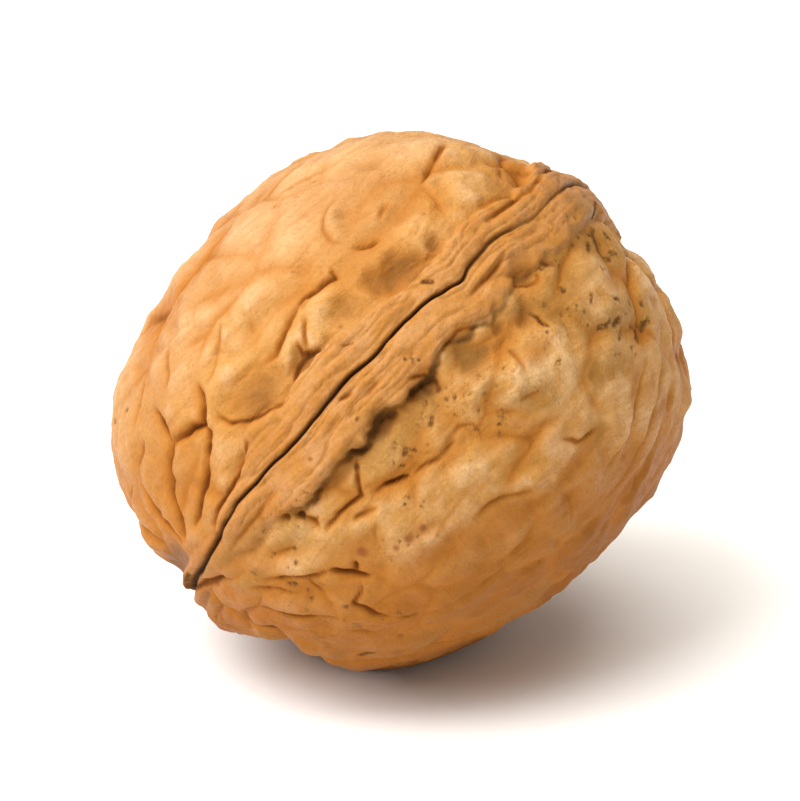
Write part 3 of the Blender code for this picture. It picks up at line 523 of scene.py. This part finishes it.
def side_hollows(directions, width):
    """Depth of the hollows along the outer edges of the lips, set by noise."""
    beyond = np.abs(suture_place(directions)[1]) - width
    band = smooth_step(*SIDE_HOLLOW_BEGINS, beyond) * smooth_step(*SIDE_HOLLOW_ENDS, beyond)
    return SIDE_HOLLOW_DEPTH * band * smooth_step(0.0, 0.45, noise(directions, 4.2, 8.0))


def net_space(directions):
    """Directions squeezed lengthwise, so that cells grown there are long and fan out from the stem."""
    lat = np.arcsin(np.clip(directions[:, 2], -1.0, 1.0))
    lon = np.arctan2(directions[:, 1], directions[:, 0])
    around = np.maximum(np.cos(lat), 0.0) ** NET_FAN
    along = np.where(lat > 0.0, NET_LENGTHWISE, NET_LENGTHWISE_AT_STEM) * lat
    return np.stack([around * np.cos(lon), around * np.sin(lon), along], axis=1)


def net_seeds():
    """Middles of the cells, closer together towards the stem."""
    random = np.random.default_rng(NET_SEED)
    share = (np.arange(NET_CELLS) + 0.5) / NET_CELLS
    height = 2.0 * share ** NET_DENSER_AT_STEM - 1.0
    turn = np.arange(NET_CELLS) * math.pi * (3.0 - math.sqrt(5.0))
    flat = np.sqrt(1.0 - height ** 2)
    seeds = np.stack([flat * np.cos(turn), flat * np.sin(turn), height], axis=1)
    seeds += random.normal(0.0, NET_SHIFT, seeds.shape)
    return net_space(seeds / np.linalg.norm(seeds, axis=1)[:, None])


def net_relief(directions):
    """Depth of the net's furrows, rise of its cells, a number for each cell, the furrows' lines."""
    spots = net_space(wander(wander(directions, 3.0, 0.05), 9.0, 0.02))
    nearest = np.full(len(spots), 9.0)
    second = np.full(len(spots), 9.0)
    cell = np.zeros(len(spots))
    tones = np.random.default_rng(NET_SEED).uniform(0.0, 1.0, NET_CELLS)
    for seed, tone in zip(net_seeds(), tones):
        gap = np.linalg.norm(spots - seed, axis=1)
        cell[gap < nearest] = tone
        second = np.minimum(second, np.maximum(nearest, gap))
        nearest = np.minimum(nearest, gap)
    border = second - nearest
    broken = 0.15 + 0.85 * smooth_step(-0.45, 0.35, noise(directions, 5.0, 41.0))
    front = smooth_step(*FRONT_EDGE, directions[:, 0])
    width = NET_WIDTH * (1.8 - 0.8 * front)
    depth = NET_DEPTH * (0.68 + 0.32 * front)
    furrow = depth * broken * np.exp(-(border / width) ** (1.5 - 0.4 * front))
    crown = CELL_CROWN * (1.0 - np.exp(-(border / (3.0 * NET_WIDTH)) ** 2))
    line = front * broken * np.exp(-(border / (0.45 * NET_WIDTH)) ** 2)
    return furrow, crown, cell, line


def pits(directions):
    """Depth of the small pits: many in the pitted patches, a few all over."""
    random = np.random.default_rng(PIT_SEED)
    spots = random.normal(0.0, 1.0, (PITS_ELSEWHERE, 3))
    for place, spread, count in PITTED:
        patch = direction(*place) + math.radians(spread) * random.normal(0.0, 0.6, (count, 3))
        spots = np.concatenate([spots, patch])
    spots /= np.linalg.norm(spots, axis=1)[:, None]
    bent = wander(wander(directions, 55.0, 0.008), 120.0, 0.004)
    bent[:, 2] *= PIT_SQUEEZE
    spots[:, 2] *= PIT_SQUEEZE
    deepest = np.zeros(len(directions))
    for spot, size in zip(spots, random.uniform(PIT_SMALLEST, PIT_LARGEST, len(spots))):
        gap = np.linalg.norm(bent - spot, axis=1) * MEAN_RADIUS
        pit = size / PIT_LARGEST * np.exp(-(gap / max(size, FINEST_WIDTH)) ** 2)
        deepest = np.maximum(deepest, pit)
    return deepest


def lumps(directions):
    """Rounded lumps a few millimetres across, meeting in creases."""
    bent = wander(directions, 5.0, 0.03)
    coarse = np.abs(noise(bent, 6.0, 71.0)) - 0.25
    fine = np.abs(noise(bent, 12.0, 77.0)) - 0.25
    return LUMP_HEIGHT * (coarse + 0.55 * fine)


def wrinkles(directions):
    """Fine wrinkles that run lengthwise and fan out from the stem."""
    lat = np.arcsin(np.clip(directions[:, 2], -1.0, 1.0))
    lon = np.arctan2(directions[:, 1], directions[:, 0])
    around = np.sqrt(np.maximum(np.cos(lat), 0.0))
    squeezed = np.stack([around * np.cos(lon), around * np.sin(lon), 0.35 * lat], axis=1)
    ridges = 1.0 - 2.0 * np.abs(noise(squeezed, 11.0, 61.0))
    return 0.6 * ridges + 0.4 * noise(squeezed, 24.0, 67.0)


def shares(directions, lip):
    """The side with listed furrows, and the shares of the net, the lumps and the wrinkles on each
    direction.
    """
    drawn_side = smooth_step(*DRAWN_SIDE_EDGE, angle_to(directions, *DRAWN_SIDE))
    smoother = 1.0 - SMOOTHER_BY * smooth_step(*SMOOTHER_EDGE, angle_to(directions, *SMOOTHER))
    net_share = (1.0 - drawn_side * (1.0 - NET_ON_DRAWN_SIDE)) * (1.0 - NET_LOST_ON_LIPS * lip)
    near_stem = smooth_step(*ROUGH_STEM_EDGE, directions[:, 2])
    near_stem *= smooth_step(*ROUGH_STEM_SIDE, directions[:, 1])
    rough_here = np.maximum(smooth_step(*ROUGH_CHEEK_EDGE, directions[:, 1]), near_stem) * (1.0 - lip)
    return drawn_side, net_share * smoother, (1.0 - 0.5 * lip) * smoother, rough_here


def away_from_rest(directions):
    """0 over the flat on which the nut rests and 1 a little way from it."""
    from_rest = np.degrees(np.arccos(np.clip(-(directions @ to_world()[2]), -1.0, 1.0)))
    return smooth_step(REST_FADE_FROM, REST_FADE_TO, from_rest)


def place_fields(directions, strayed):
    """What the colours need to know of each direction's place, and the marks on the shell."""
    return {
        "side": directions[:, 1],
        "stem": -directions[:, 2],
        "under": -(directions @ to_world()[2]),
        "ahead": directions[:, 0] * MEAN_RADIUS,
        "apexward": directions[:, 2] * MEAN_RADIUS,
        "aside": suture_place(directions)[1],
        "fleck": stains(strayed, FLECKS),
        "russet": stains(strayed, RUSSET),
        "dirt_and_shade": stains(strayed, DIRT_AND_SHADE),
    }


def shell_fields(directions):
    """Radius of the shell along each direction, and what its colours depend on there."""
    lip_height, lip, crack, groove, width = suture_relief(directions)
    drawn_side, net_share, lump_share, rough_here = shares(directions, lip)
    strayed = wander(wander(directions, 12.0, 0.008), 34.0, 0.004)
    furrows, lines = drawn(strayed, FURROWS, 1.0, 0.5, 0.45)
    hollows, _ = drawn(wander(directions, 16.0, 0.022), HOLLOWS, 3.0, 0.2)
    ridges, _ = drawn(strayed, RIDGES, 2.0, 0.4)
    net, crown, cell, net_line = net_relief(directions)
    beside = side_hollows(directions, width) * (1.0 - drawn_side)
    pit, wrinkle = pits(directions), wrinkles(directions)
    carved = np.maximum(np.maximum(furrows, hollows), np.maximum(net * net_share, beside))
    relief = lip_height + ridges + crown * (1.0 - lip) - CELL_CROWN - carved
    relief -= CRACK_DEPTH * crack + PIT_DEPTH * pit + groove
    relief += WAVE_HEIGHT * noise(directions, 4.0, 23.0) + lumps(directions) * lump_share
    relief += (WRINKLE_ELSEWHERE + WRINKLE_HEIGHT * rough_here) * wrinkle + fine_skin(directions, lip)
    shaped = {
        "furrow": np.maximum(furrows, net * net_share) / FURROW_FULL_AT,
        "line": np.maximum(lines, 0.6 * net_line * net_share),
        "hollow": np.maximum(hollows, beside) / HOLLOW_FULL_AT,
        "crack": crack,
        "groove": groove,
        "lip": lip,
        "relief": relief,
        "pit": pit,
        "pitted": pitted(wander(directions, 12.0, 0.03)),
        "strand": smooth_step(0.13, 0.0, strands(directions)) * lip,
        "wrinkle": wrinkle * rough_here,
    }
    shown = away_from_rest(directions)
    fields = {name: values * shown for name, values in shaped.items()}
    fields.update(place_fields(directions, strayed), cell=cell)
    return egg(directions) + relief * shown, fields


def stains(directions, marks):
    """How strongly any of the marks colours each direction, 0 to 1."""
    strongest = np.zeros(len(directions))
    for half_width, path in marks:
        gap, _ = path_distance(directions, path)
        strongest = np.maximum(strongest, np.exp(-(gap / half_width) ** 2))
    return strongest


def strands(directions):
    """0 along fine lines that follow the suture, and more the farther from one."""
    strayed = wander(directions, 7.0, 0.012)
    aside = suture_place(strayed)[1]
    lengthwise = [STRAND_STRETCH * strayed[:, 0], STRAND_STRETCH * strayed[:, 2]]
    return np.abs(noise(np.stack([aside / STRAND_WIDTH] + lengthwise, axis=1), 1.0, 7.0))


def fine_skin(directions, lip_here):
    """The skin's small unevenness, with fine lines along the lips."""
    coarse, fine = SKIN_HEIGHTS
    skin = coarse * noise(directions, 28.0, 51.0) + fine * noise(directions, 60.0, 57.0)
    return skin + STRAND_HEIGHT * np.minimum(strands(directions), STRAND_WIDEST) * lip_here


def pitted(directions):
    """How near the middle of a pitted patch each direction lies, 0 to 1."""
    nearest = np.zeros(len(directions))
    for place, spread, _ in PITTED:
        nearest = np.maximum(nearest, np.exp(-(angle_to(directions, *place) / (1.2 * spread)) ** 2))
    return nearest


def to_world():
    """Rotation from the nut's own axes to the frame's: rows are the frame's X, Y and Z."""
    rise, heading, roll = math.radians(APEX_RISE), math.radians(APEX_HEADING), math.radians(ROLL)
    level = math.cos(rise)
    apex = Vector((level * math.cos(heading), level * math.sin(heading), math.sin(rise)))
    sideways = Vector((0.0, 0.0, 1.0)).cross(apex).normalized()
    suture = Matrix.Rotation(roll, 3, apex) @ sideways
    cheek = apex.cross(suture)
    return np.array([suture, cheek, apex]).T


def nut_cube():
    """A cube with a fine grid on each side, to be blown up into the nut."""
    mesh = bmesh.new()
    bmesh.ops.create_cube(mesh, size=2.0)
    bmesh.ops.subdivide_edges(mesh, edges=mesh.edges[:], cuts=STEPS_A_SIDE - 1, use_grid_fill=True)
    return mesh


def crowded(across):
    """Rows' places from -1 to 1 across the suture, drawn in towards it."""
    row = np.linspace(-1.0, 1.0, 721)
    density = 1.0 + SUTURE_CROWDING * np.exp(-(row / SUTURE_CROWD_WIDTH) ** 2)
    reached = np.concatenate([[0.0], np.cumsum(0.5 * (density[1:] + density[:-1]))])
    return np.interp((across + 1.0) / 2.0, reached / reached[-1], row)


def grid_directions(places):
    """Directions of the cube's points on a sphere, with the middle row of four sides on the suture."""
    sides = np.stack([places[:, 0], crowded(places[:, 1]), places[:, 2]], axis=1)
    spread = np.tan(math.pi / 4.0 * sides)
    spread /= np.linalg.norm(spread, axis=1)[:, None]
    from_front = np.arccos(np.clip(spread[:, 0], -1.0, 1.0))
    closer = from_front - FRONT_CROWDING * np.sin(from_front)
    sideways = np.sin(closer) / np.maximum(np.sin(from_front), 1e-9)
    spread = np.stack([np.cos(closer), spread[:, 1] * sideways, spread[:, 2] * sideways], axis=1)
    turn = np.arctan2(spread[:, 2], spread[:, 0])
    aside = np.degrees(np.arcsin(np.clip(spread[:, 1], -1.0, 1.0)))
    aside += round_the_nut(SUTURE_LINE, np.degrees(turn)) * np.exp(-(aside / ROWS_FOLLOW_WITHIN) ** 2)
    aside = np.radians(aside)
    return np.stack([np.cos(aside) * np.cos(turn), np.sin(aside), np.cos(aside) * np.sin(turn)], axis=1)


def cut_flat(mesh):
    """Cuts the small flat on which the nut rests, at the frame's Z = 0, and closes it."""
    everything = mesh.verts[:] + mesh.edges[:] + mesh.faces[:]
    cut = bmesh.ops.bisect_plane(
        mesh, geom=everything, plane_co=(0, 0, 0), plane_no=(0, 0, 1), dist=1e-7, clear_inner=True)
    rim = [item for item in cut["geom_cut"] if isinstance(item, bmesh.types.BMEdge)]
    bmesh.ops.contextual_create(mesh, geom=rim)


def make_shell():
    """The fine shell as one object, with its colour fields on its points."""
    fine = nut_cube()
    fine.verts.ensure_lookup_table()
    directions = grid_directions(np.array([v.co for v in fine.verts]))
    radius, fields = shell_fields(directions)
    places = (directions * radius[:, None]) @ to_world().T + np.array(CENTRE)
    layers = {name: fine.verts.layers.float.new(name) for name in fields}
    for vertex, place in zip(fine.verts, places * MM):
        vertex.co = place
    for name, layer in layers.items():
        for vertex, value in zip(fine.verts, fields[name].tolist()):
            vertex[layer] = value
    cut_flat(fine)
    bmesh.ops.recalc_face_normals(fine, faces=fine.faces[:])
    mesh = bpy.data.meshes.new("walnut_shell")
    fine.to_mesh(mesh)
    fine.free()
    mesh.shade_smooth()
    shell = bpy.data.objects.new("walnut_shell", mesh)
    bpy.context.scene.collection.objects.link(shell)
    return shell


class Nodes:
    """Adds shader nodes to a material, one short call for each kind."""

    def __init__(self, material):
        material.use_nodes = True
        self.tree = material.node_tree
        self.tree.nodes.clear()

    def new(self, kind, **settings):
        node = self.tree.nodes.new(kind)
        for name, value in settings.items():
            setattr(node, name, value)
        return node

    def feed(self, socket, value):
        """Links value to the socket if it is another node's output, or else sets it."""
        if isinstance(value, bpy.types.NodeSocket):
            self.tree.links.new(value, socket)
        else:
            socket.default_value = value

    def field(self, name):
        """One of the shell's own point fields."""
        return self.new("ShaderNodeAttribute", attribute_name=name).outputs["Fac"]

    def math(self, operation, first, second=0.0):
        node = self.new("ShaderNodeMath", operation=operation)
        self.feed(node.inputs[0], first)
        self.feed(node.inputs[1], second)
        return node.outputs[0]

    def ramp(self, value, low, high, to_low=0.0, to_high=1.0):
        """A smooth rise from to_low to to_high while value goes from low to high."""
        node = self.new("ShaderNodeMapRange", interpolation_type="SMOOTHSTEP")
        for name, number in (("Value", value), ("From Min", low), ("From Max", high),
                             ("To Min", to_low), ("To Max", to_high)):
            self.feed(node.inputs[name], number)
        return node.outputs["Result"]

    def mix(self, factor, first, second):
        node = self.new("ShaderNodeMix", data_type="RGBA")
        self.feed(node.inputs["Factor"], factor)
        self.feed(node.inputs[6], first)
        self.feed(node.inputs[7], second)
        return node.outputs[2]

    def tint(self, base, value, low, high, share, colour):
        """base, with up to a share of a colour as a field or value goes from low to high."""
        value = self.field(value) if isinstance(value, str) else value
        return self.mix(self.ramp(value, low, high, 0.0, share), base, colour)

    def times(self, name, factor):
        """One of the shell's fields, multiplied by a number or another node's output."""
        return self.math("MULTIPLY", self.field(name), factor)

    def noise(self, places, bumps_per_mm, detail=3.0, rough=0.55, warp=0.0):
        node = self.new("ShaderNodeTexNoise")
        self.feed(node.inputs["Vector"], places)
        self.feed(node.inputs["Scale"], bumps_per_mm / MM)
        self.feed(node.inputs["Detail"], detail)
        self.feed(node.inputs["Roughness"], rough)
        self.feed(node.inputs["Distortion"], warp)
        return node.outputs["Fac"]

    def principled(self, colour):
        """A shader of that colour, joined to the material's output."""
        shader = self.new("ShaderNodeBsdfPrincipled")
        self.feed(shader.inputs["Base Color"], colour)
        output = self.new("ShaderNodeOutputMaterial")
        self.feed(output.inputs["Surface"], shader.outputs["BSDF"])
        return shader


# The shell's colours
PALE = (0.60, 0.400, 0.215, 1.0)
TAN = (0.45, 0.222, 0.050, 1.0)
ORANGE = (0.38, 0.135, 0.016, 1.0)
AMBER = (0.30, 0.096, 0.010, 1.0)
BROWN = (0.18, 0.066, 0.012, 1.0)
LINE = (0.12, 0.030, 0.004, 1.0)
DEEP = (0.10, 0.043, 0.012, 1.0)
INK = (0.040, 0.018, 0.008, 1.0)
OLIVE = (0.26, 0.122, 0.024, 1.0)
FLECK = (0.060, 0.024, 0.008, 1.0)
RUST = (0.20, 0.055, 0.012, 1.0)


def surface_noises(nodes):
    """The noises that the colours and the fine bumps follow; the fibres run along the suture."""
    places = nodes.new("ShaderNodeTexCoord").outputs["Object"]
    lengthwise = nodes.new("ShaderNodeCombineXYZ")
    for axis, name, squeeze in (("X", "ahead", 0.25), ("Y", "aside", 1.6), ("Z", "apexward", 0.25)):
        nodes.feed(lengthwise.inputs[axis], nodes.times(name, squeeze))
    return {
        "broad": nodes.noise(places, 0.12, 2.0),
        "mottle": nodes.noise(places, 0.6, 4.0, 0.6, 0.4),
        "grain": nodes.noise(places, 4.0, 3.0, 0.7),
        "speckle": nodes.noise(places, 1.6, 5.0, 0.75, 0.6),
        "specks": nodes.noise(places, 1.2, 5.0, 0.72),
        "fibres": nodes.noise(lengthwise.outputs["Vector"], 1.0 * MM, 4.0, 0.65, 0.5),
    }


def skin_tones(nodes, noises):
    """Pale and tan patches, crowns paler with wear and low places tan as painted shade, a painted
    highlight on the near cheek, warmer lips and stem, and painted shade on the underside and far cheek.
    """
    base = nodes.tint(PALE, noises["mottle"], 0.30, 0.66, 0.8, TAN)
    # Paler crowns are wear; the tan painted into low places is painted shade.
    base = nodes.tint(base, "relief", 0.15, -0.45, 0.8, TAN)
    # Painted highlight: the cheek on the key light's side is painted paler.
    base = nodes.tint(base, "side", -0.30, -0.75, 0.65, PALE)
    base = nodes.mix(nodes.times("lip", 0.45), base, ORANGE)
    base = nodes.mix(nodes.times("lip", 0.28), base, AMBER)
    base = nodes.tint(base, "stem", 0.6, 0.95, 0.45, ORANGE)
    base = nodes.tint(base, noises["fibres"], 0.42, 0.70, 0.35, AMBER)
    base = nodes.mix(nodes.times("strand", 0.80), base, BROWN)
    # Painted shade: more amber the more the surface faces down, plus a random broad tone; then browner
    # underneath.
    underside_shade_and_tone = nodes.ramp(nodes.field("under"), 0.1, 0.6, 0.0, 0.85)
    underside_shade_and_tone = nodes.math("ADD", underside_shade_and_tone, nodes.ramp(noises["broad"], 0.4, 0.7, 0.0, 0.20))
    base = nodes.mix(underside_shade_and_tone, base, AMBER)
    base = nodes.tint(base, "under", 0.3, 0.9, 0.40, BROWN)
    # Painted shade on the far cheek and underneath, away from the light, weaker near the stem.
    far_cheek_shade = nodes.math("ADD", nodes.field("side"), nodes.times("under", 0.5))
    near_stem = nodes.ramp(nodes.field("stem"), 0.5, 0.85, 0.0, 0.5)
    far_cheek_shade = nodes.math("SUBTRACT", far_cheek_shade, near_stem)
    base = nodes.tint(base, far_cheek_shade, 0.42, 0.95, 0.85, AMBER)
    return nodes.tint(base, far_cheek_shade, 0.7, 1.15, 0.5, BROWN)


def relief_tones(nodes, base, noises):
    """Painted shade in low places, wrinkle valleys, furrows and hollows, the furrows also their own
    orange-brown; dark pits; dirt with painted shade in patches; and painted shadow with dirt in the
    groove beside the lips.
    """
    base = nodes.tint(base, "cell", 0.0, 1.0, 0.22, TAN)
    # Painted shade: low places darker amber.
    base = nodes.tint(base, "relief", 0.0, -0.85, 0.70, AMBER)
    base = nodes.tint(base, noises["grain"], 0.45, 0.75, 0.30, BROWN)
    # Painted shade in the wrinkles' valleys.
    base = nodes.tint(base, "wrinkle", 0.25, -0.45, 0.55, AMBER)
    # Dirt and painted shade in the listed patches, broken up by speckle.
    dirt_and_shade_smear = nodes.times("dirt_and_shade", nodes.ramp(noises["speckle"], 0.25, 0.60, 0.35, 1.0))
    base = nodes.tint(base, dirt_and_shade_smear, 0.1, 0.9, 0.65, OLIVE)
    # The furrows' own orange-brown, deepened with depth as painted shade.
    base = nodes.tint(base, "furrow", 0.02, 0.6, 0.7, ORANGE)
    base = nodes.tint(base, "furrow", 0.25, 1.1, 0.85, AMBER)
    # Painted shade: a dark line along the bottom of the deeper furrows.
    base = nodes.tint(base, "line", 0.06, 0.85, 0.95, LINE)
    # Painted shade in the hollows.
    base = nodes.tint(base, "hollow", 0.25, 1.1, 0.55, DEEP)
    # Painted shadow, with some dirt, in the groove under the lip's outer edge.
    ledge_shade_and_dirt = nodes.times("groove", nodes.ramp(noises["speckle"], 0.3, 0.6, 0.6, 1.0))
    base = nodes.tint(base, ledge_shade_and_dirt, 0.03, 0.36, 0.88, DEEP)
    return nodes.tint(base, "pit", 0.2, 0.8, 0.85, DEEP)


def stain_tones(nodes, base, noises):
    """Dark specks and flecks, rust-coloured spots, and the dark crack."""
    specks = nodes.math("ADD", noises["specks"], nodes.times("pitted", 0.08))
    base = nodes.tint(base, specks, 0.62, 0.78, 0.75, DEEP)
    base = nodes.tint(base, "russet", 0.2, 0.9, 0.8, RUST)
    base = nodes.tint(base, noises["speckle"], 0.64, 0.74, 0.55, DEEP)
    fleck = nodes.times("fleck", nodes.ramp(noises["grain"], 0.3, 0.5, 0.5, 1.0))
    base = nodes.tint(base, fleck, 0.2, 0.9, 0.85, FLECK)
    base = nodes.tint(base, "crack", 0.01, 0.25, 0.6, BROWN)
    return nodes.tint(base, "crack", 0.14, 0.85, 1.0, INK)


def shell_roughness(nodes, noises):
    """Half-matt skin, and matt in the crack, the furrows' lines and the flecks."""
    rough = nodes.ramp(noises["grain"], 0.3, 0.7, 0.42, 0.58)
    dull = nodes.math("ADD", nodes.field("line"), nodes.field("fleck"))
    dull = nodes.math("ADD", nodes.field("crack"), dull)
    return nodes.math("ADD", rough, nodes.ramp(dull, 0.1, 0.7, 0.0, 0.4))


def shell_material():
    """Tan shell: pale crowns, orange-brown furrows, dark crack and a few stains, with a painted
    highlight on the near cheek and painted shade in furrows, hollows, the lip groove, underneath and on
    the far cheek.
    """
    material = bpy.data.materials.new("shell")
    nodes = Nodes(material)
    noises = surface_noises(nodes)
    base = relief_tones(nodes, skin_tones(nodes, noises), noises)
    shader = nodes.principled(stain_tones(nodes, base, noises))
    bump = nodes.new("ShaderNodeBump")
    bump.inputs["Strength"].default_value = 0.8
    bump.inputs["Distance"].default_value = 0.09 * MM
    height = nodes.math("ADD", noises["speckle"], noises["fibres"])
    nodes.feed(bump.inputs["Height"], nodes.math("ADD", noises["grain"], height))
    nodes.feed(shader.inputs["Normal"], bump.outputs["Normal"])
    nodes.feed(shader.inputs["Roughness"], shell_roughness(nodes, noises))
    shader.inputs["Specular IOR Level"].default_value = 0.12
    shader.inputs["Specular Tint"].default_value = (1.0, 0.78, 0.50, 1.0)
    return material


def make_table():
    """A plain white table top, larger than the view."""
    bpy.ops.mesh.primitive_plane_add(size=TABLE_SIDE, location=(0.0, 0.0, -TABLE_DROP))
    table = bpy.context.object
    table.name = "table"
    material = bpy.data.materials.new("table")
    Nodes(material).principled(TABLE_WHITE).inputs["Roughness"].default_value = 0.7
    table.data.materials.append(material)
    return table


def make_camera():
    """The photograph's viewing angle, closer in."""
    camera = bpy.data.cameras.new("camera")
    camera.sensor_width = SENSOR_WIDTH
    camera.lens = PHOTO_LENS * CLOSER
    camera.clip_start = 0.01
    camera.clip_end = 20.0
    holder = bpy.data.objects.new("camera", camera)
    elevation = math.radians(CAMERA_ELEVATION)
    away = Vector((0.0, -math.cos(elevation), math.sin(elevation)))
    holder.location = Vector(CENTRE) * MM + away * CAMERA_DISTANCE
    holder.rotation_mode = "QUATERNION"
    holder.rotation_quaternion = (-away).to_track_quat("-Z", "Y")
    bpy.context.scene.collection.objects.link(holder)
    bpy.context.scene.camera = holder


def make_area_light(name, place, size, watts, colour):
    """A square soft light aimed at the nut."""
    light = bpy.data.lights.new(name, "AREA")
    light.shape = "SQUARE"
    light.size = size
    light.energy = watts
    light.color = colour
    holder = bpy.data.objects.new(name, light)
    holder.location = place
    holder.rotation_mode = "QUATERNION"
    aim = Vector(CENTRE) * MM - Vector(place)
    holder.rotation_quaternion = aim.to_track_quat("-Z", "Y")
    bpy.context.scene.collection.objects.link(holder)


def light_the_studio():
    """A large light up to the left, another overhead, and a pale surround."""
    for light in LIGHTS:
        make_area_light(*light)
    world = bpy.data.worlds.new("surround")
    world.use_nodes = True
    background = world.node_tree.nodes["Background"]
    background.inputs["Color"].default_value = SURROUND
    background.inputs["Strength"].default_value = SURROUND_STRENGTH
    bpy.context.scene.world = world
    bpy.context.scene.view_settings.view_transform = "Standard"


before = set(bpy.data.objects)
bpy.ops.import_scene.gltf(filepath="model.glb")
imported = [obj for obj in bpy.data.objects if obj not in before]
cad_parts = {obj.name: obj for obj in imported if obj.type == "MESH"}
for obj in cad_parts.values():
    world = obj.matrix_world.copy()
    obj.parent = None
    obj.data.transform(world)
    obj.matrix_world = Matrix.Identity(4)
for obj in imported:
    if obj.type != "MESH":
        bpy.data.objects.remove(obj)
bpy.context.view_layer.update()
make_camera()
light_the_studio()
shell = make_shell()
shell.data.materials.append(shell_material())
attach(shell, "root")
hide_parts("walnut")
make_table()
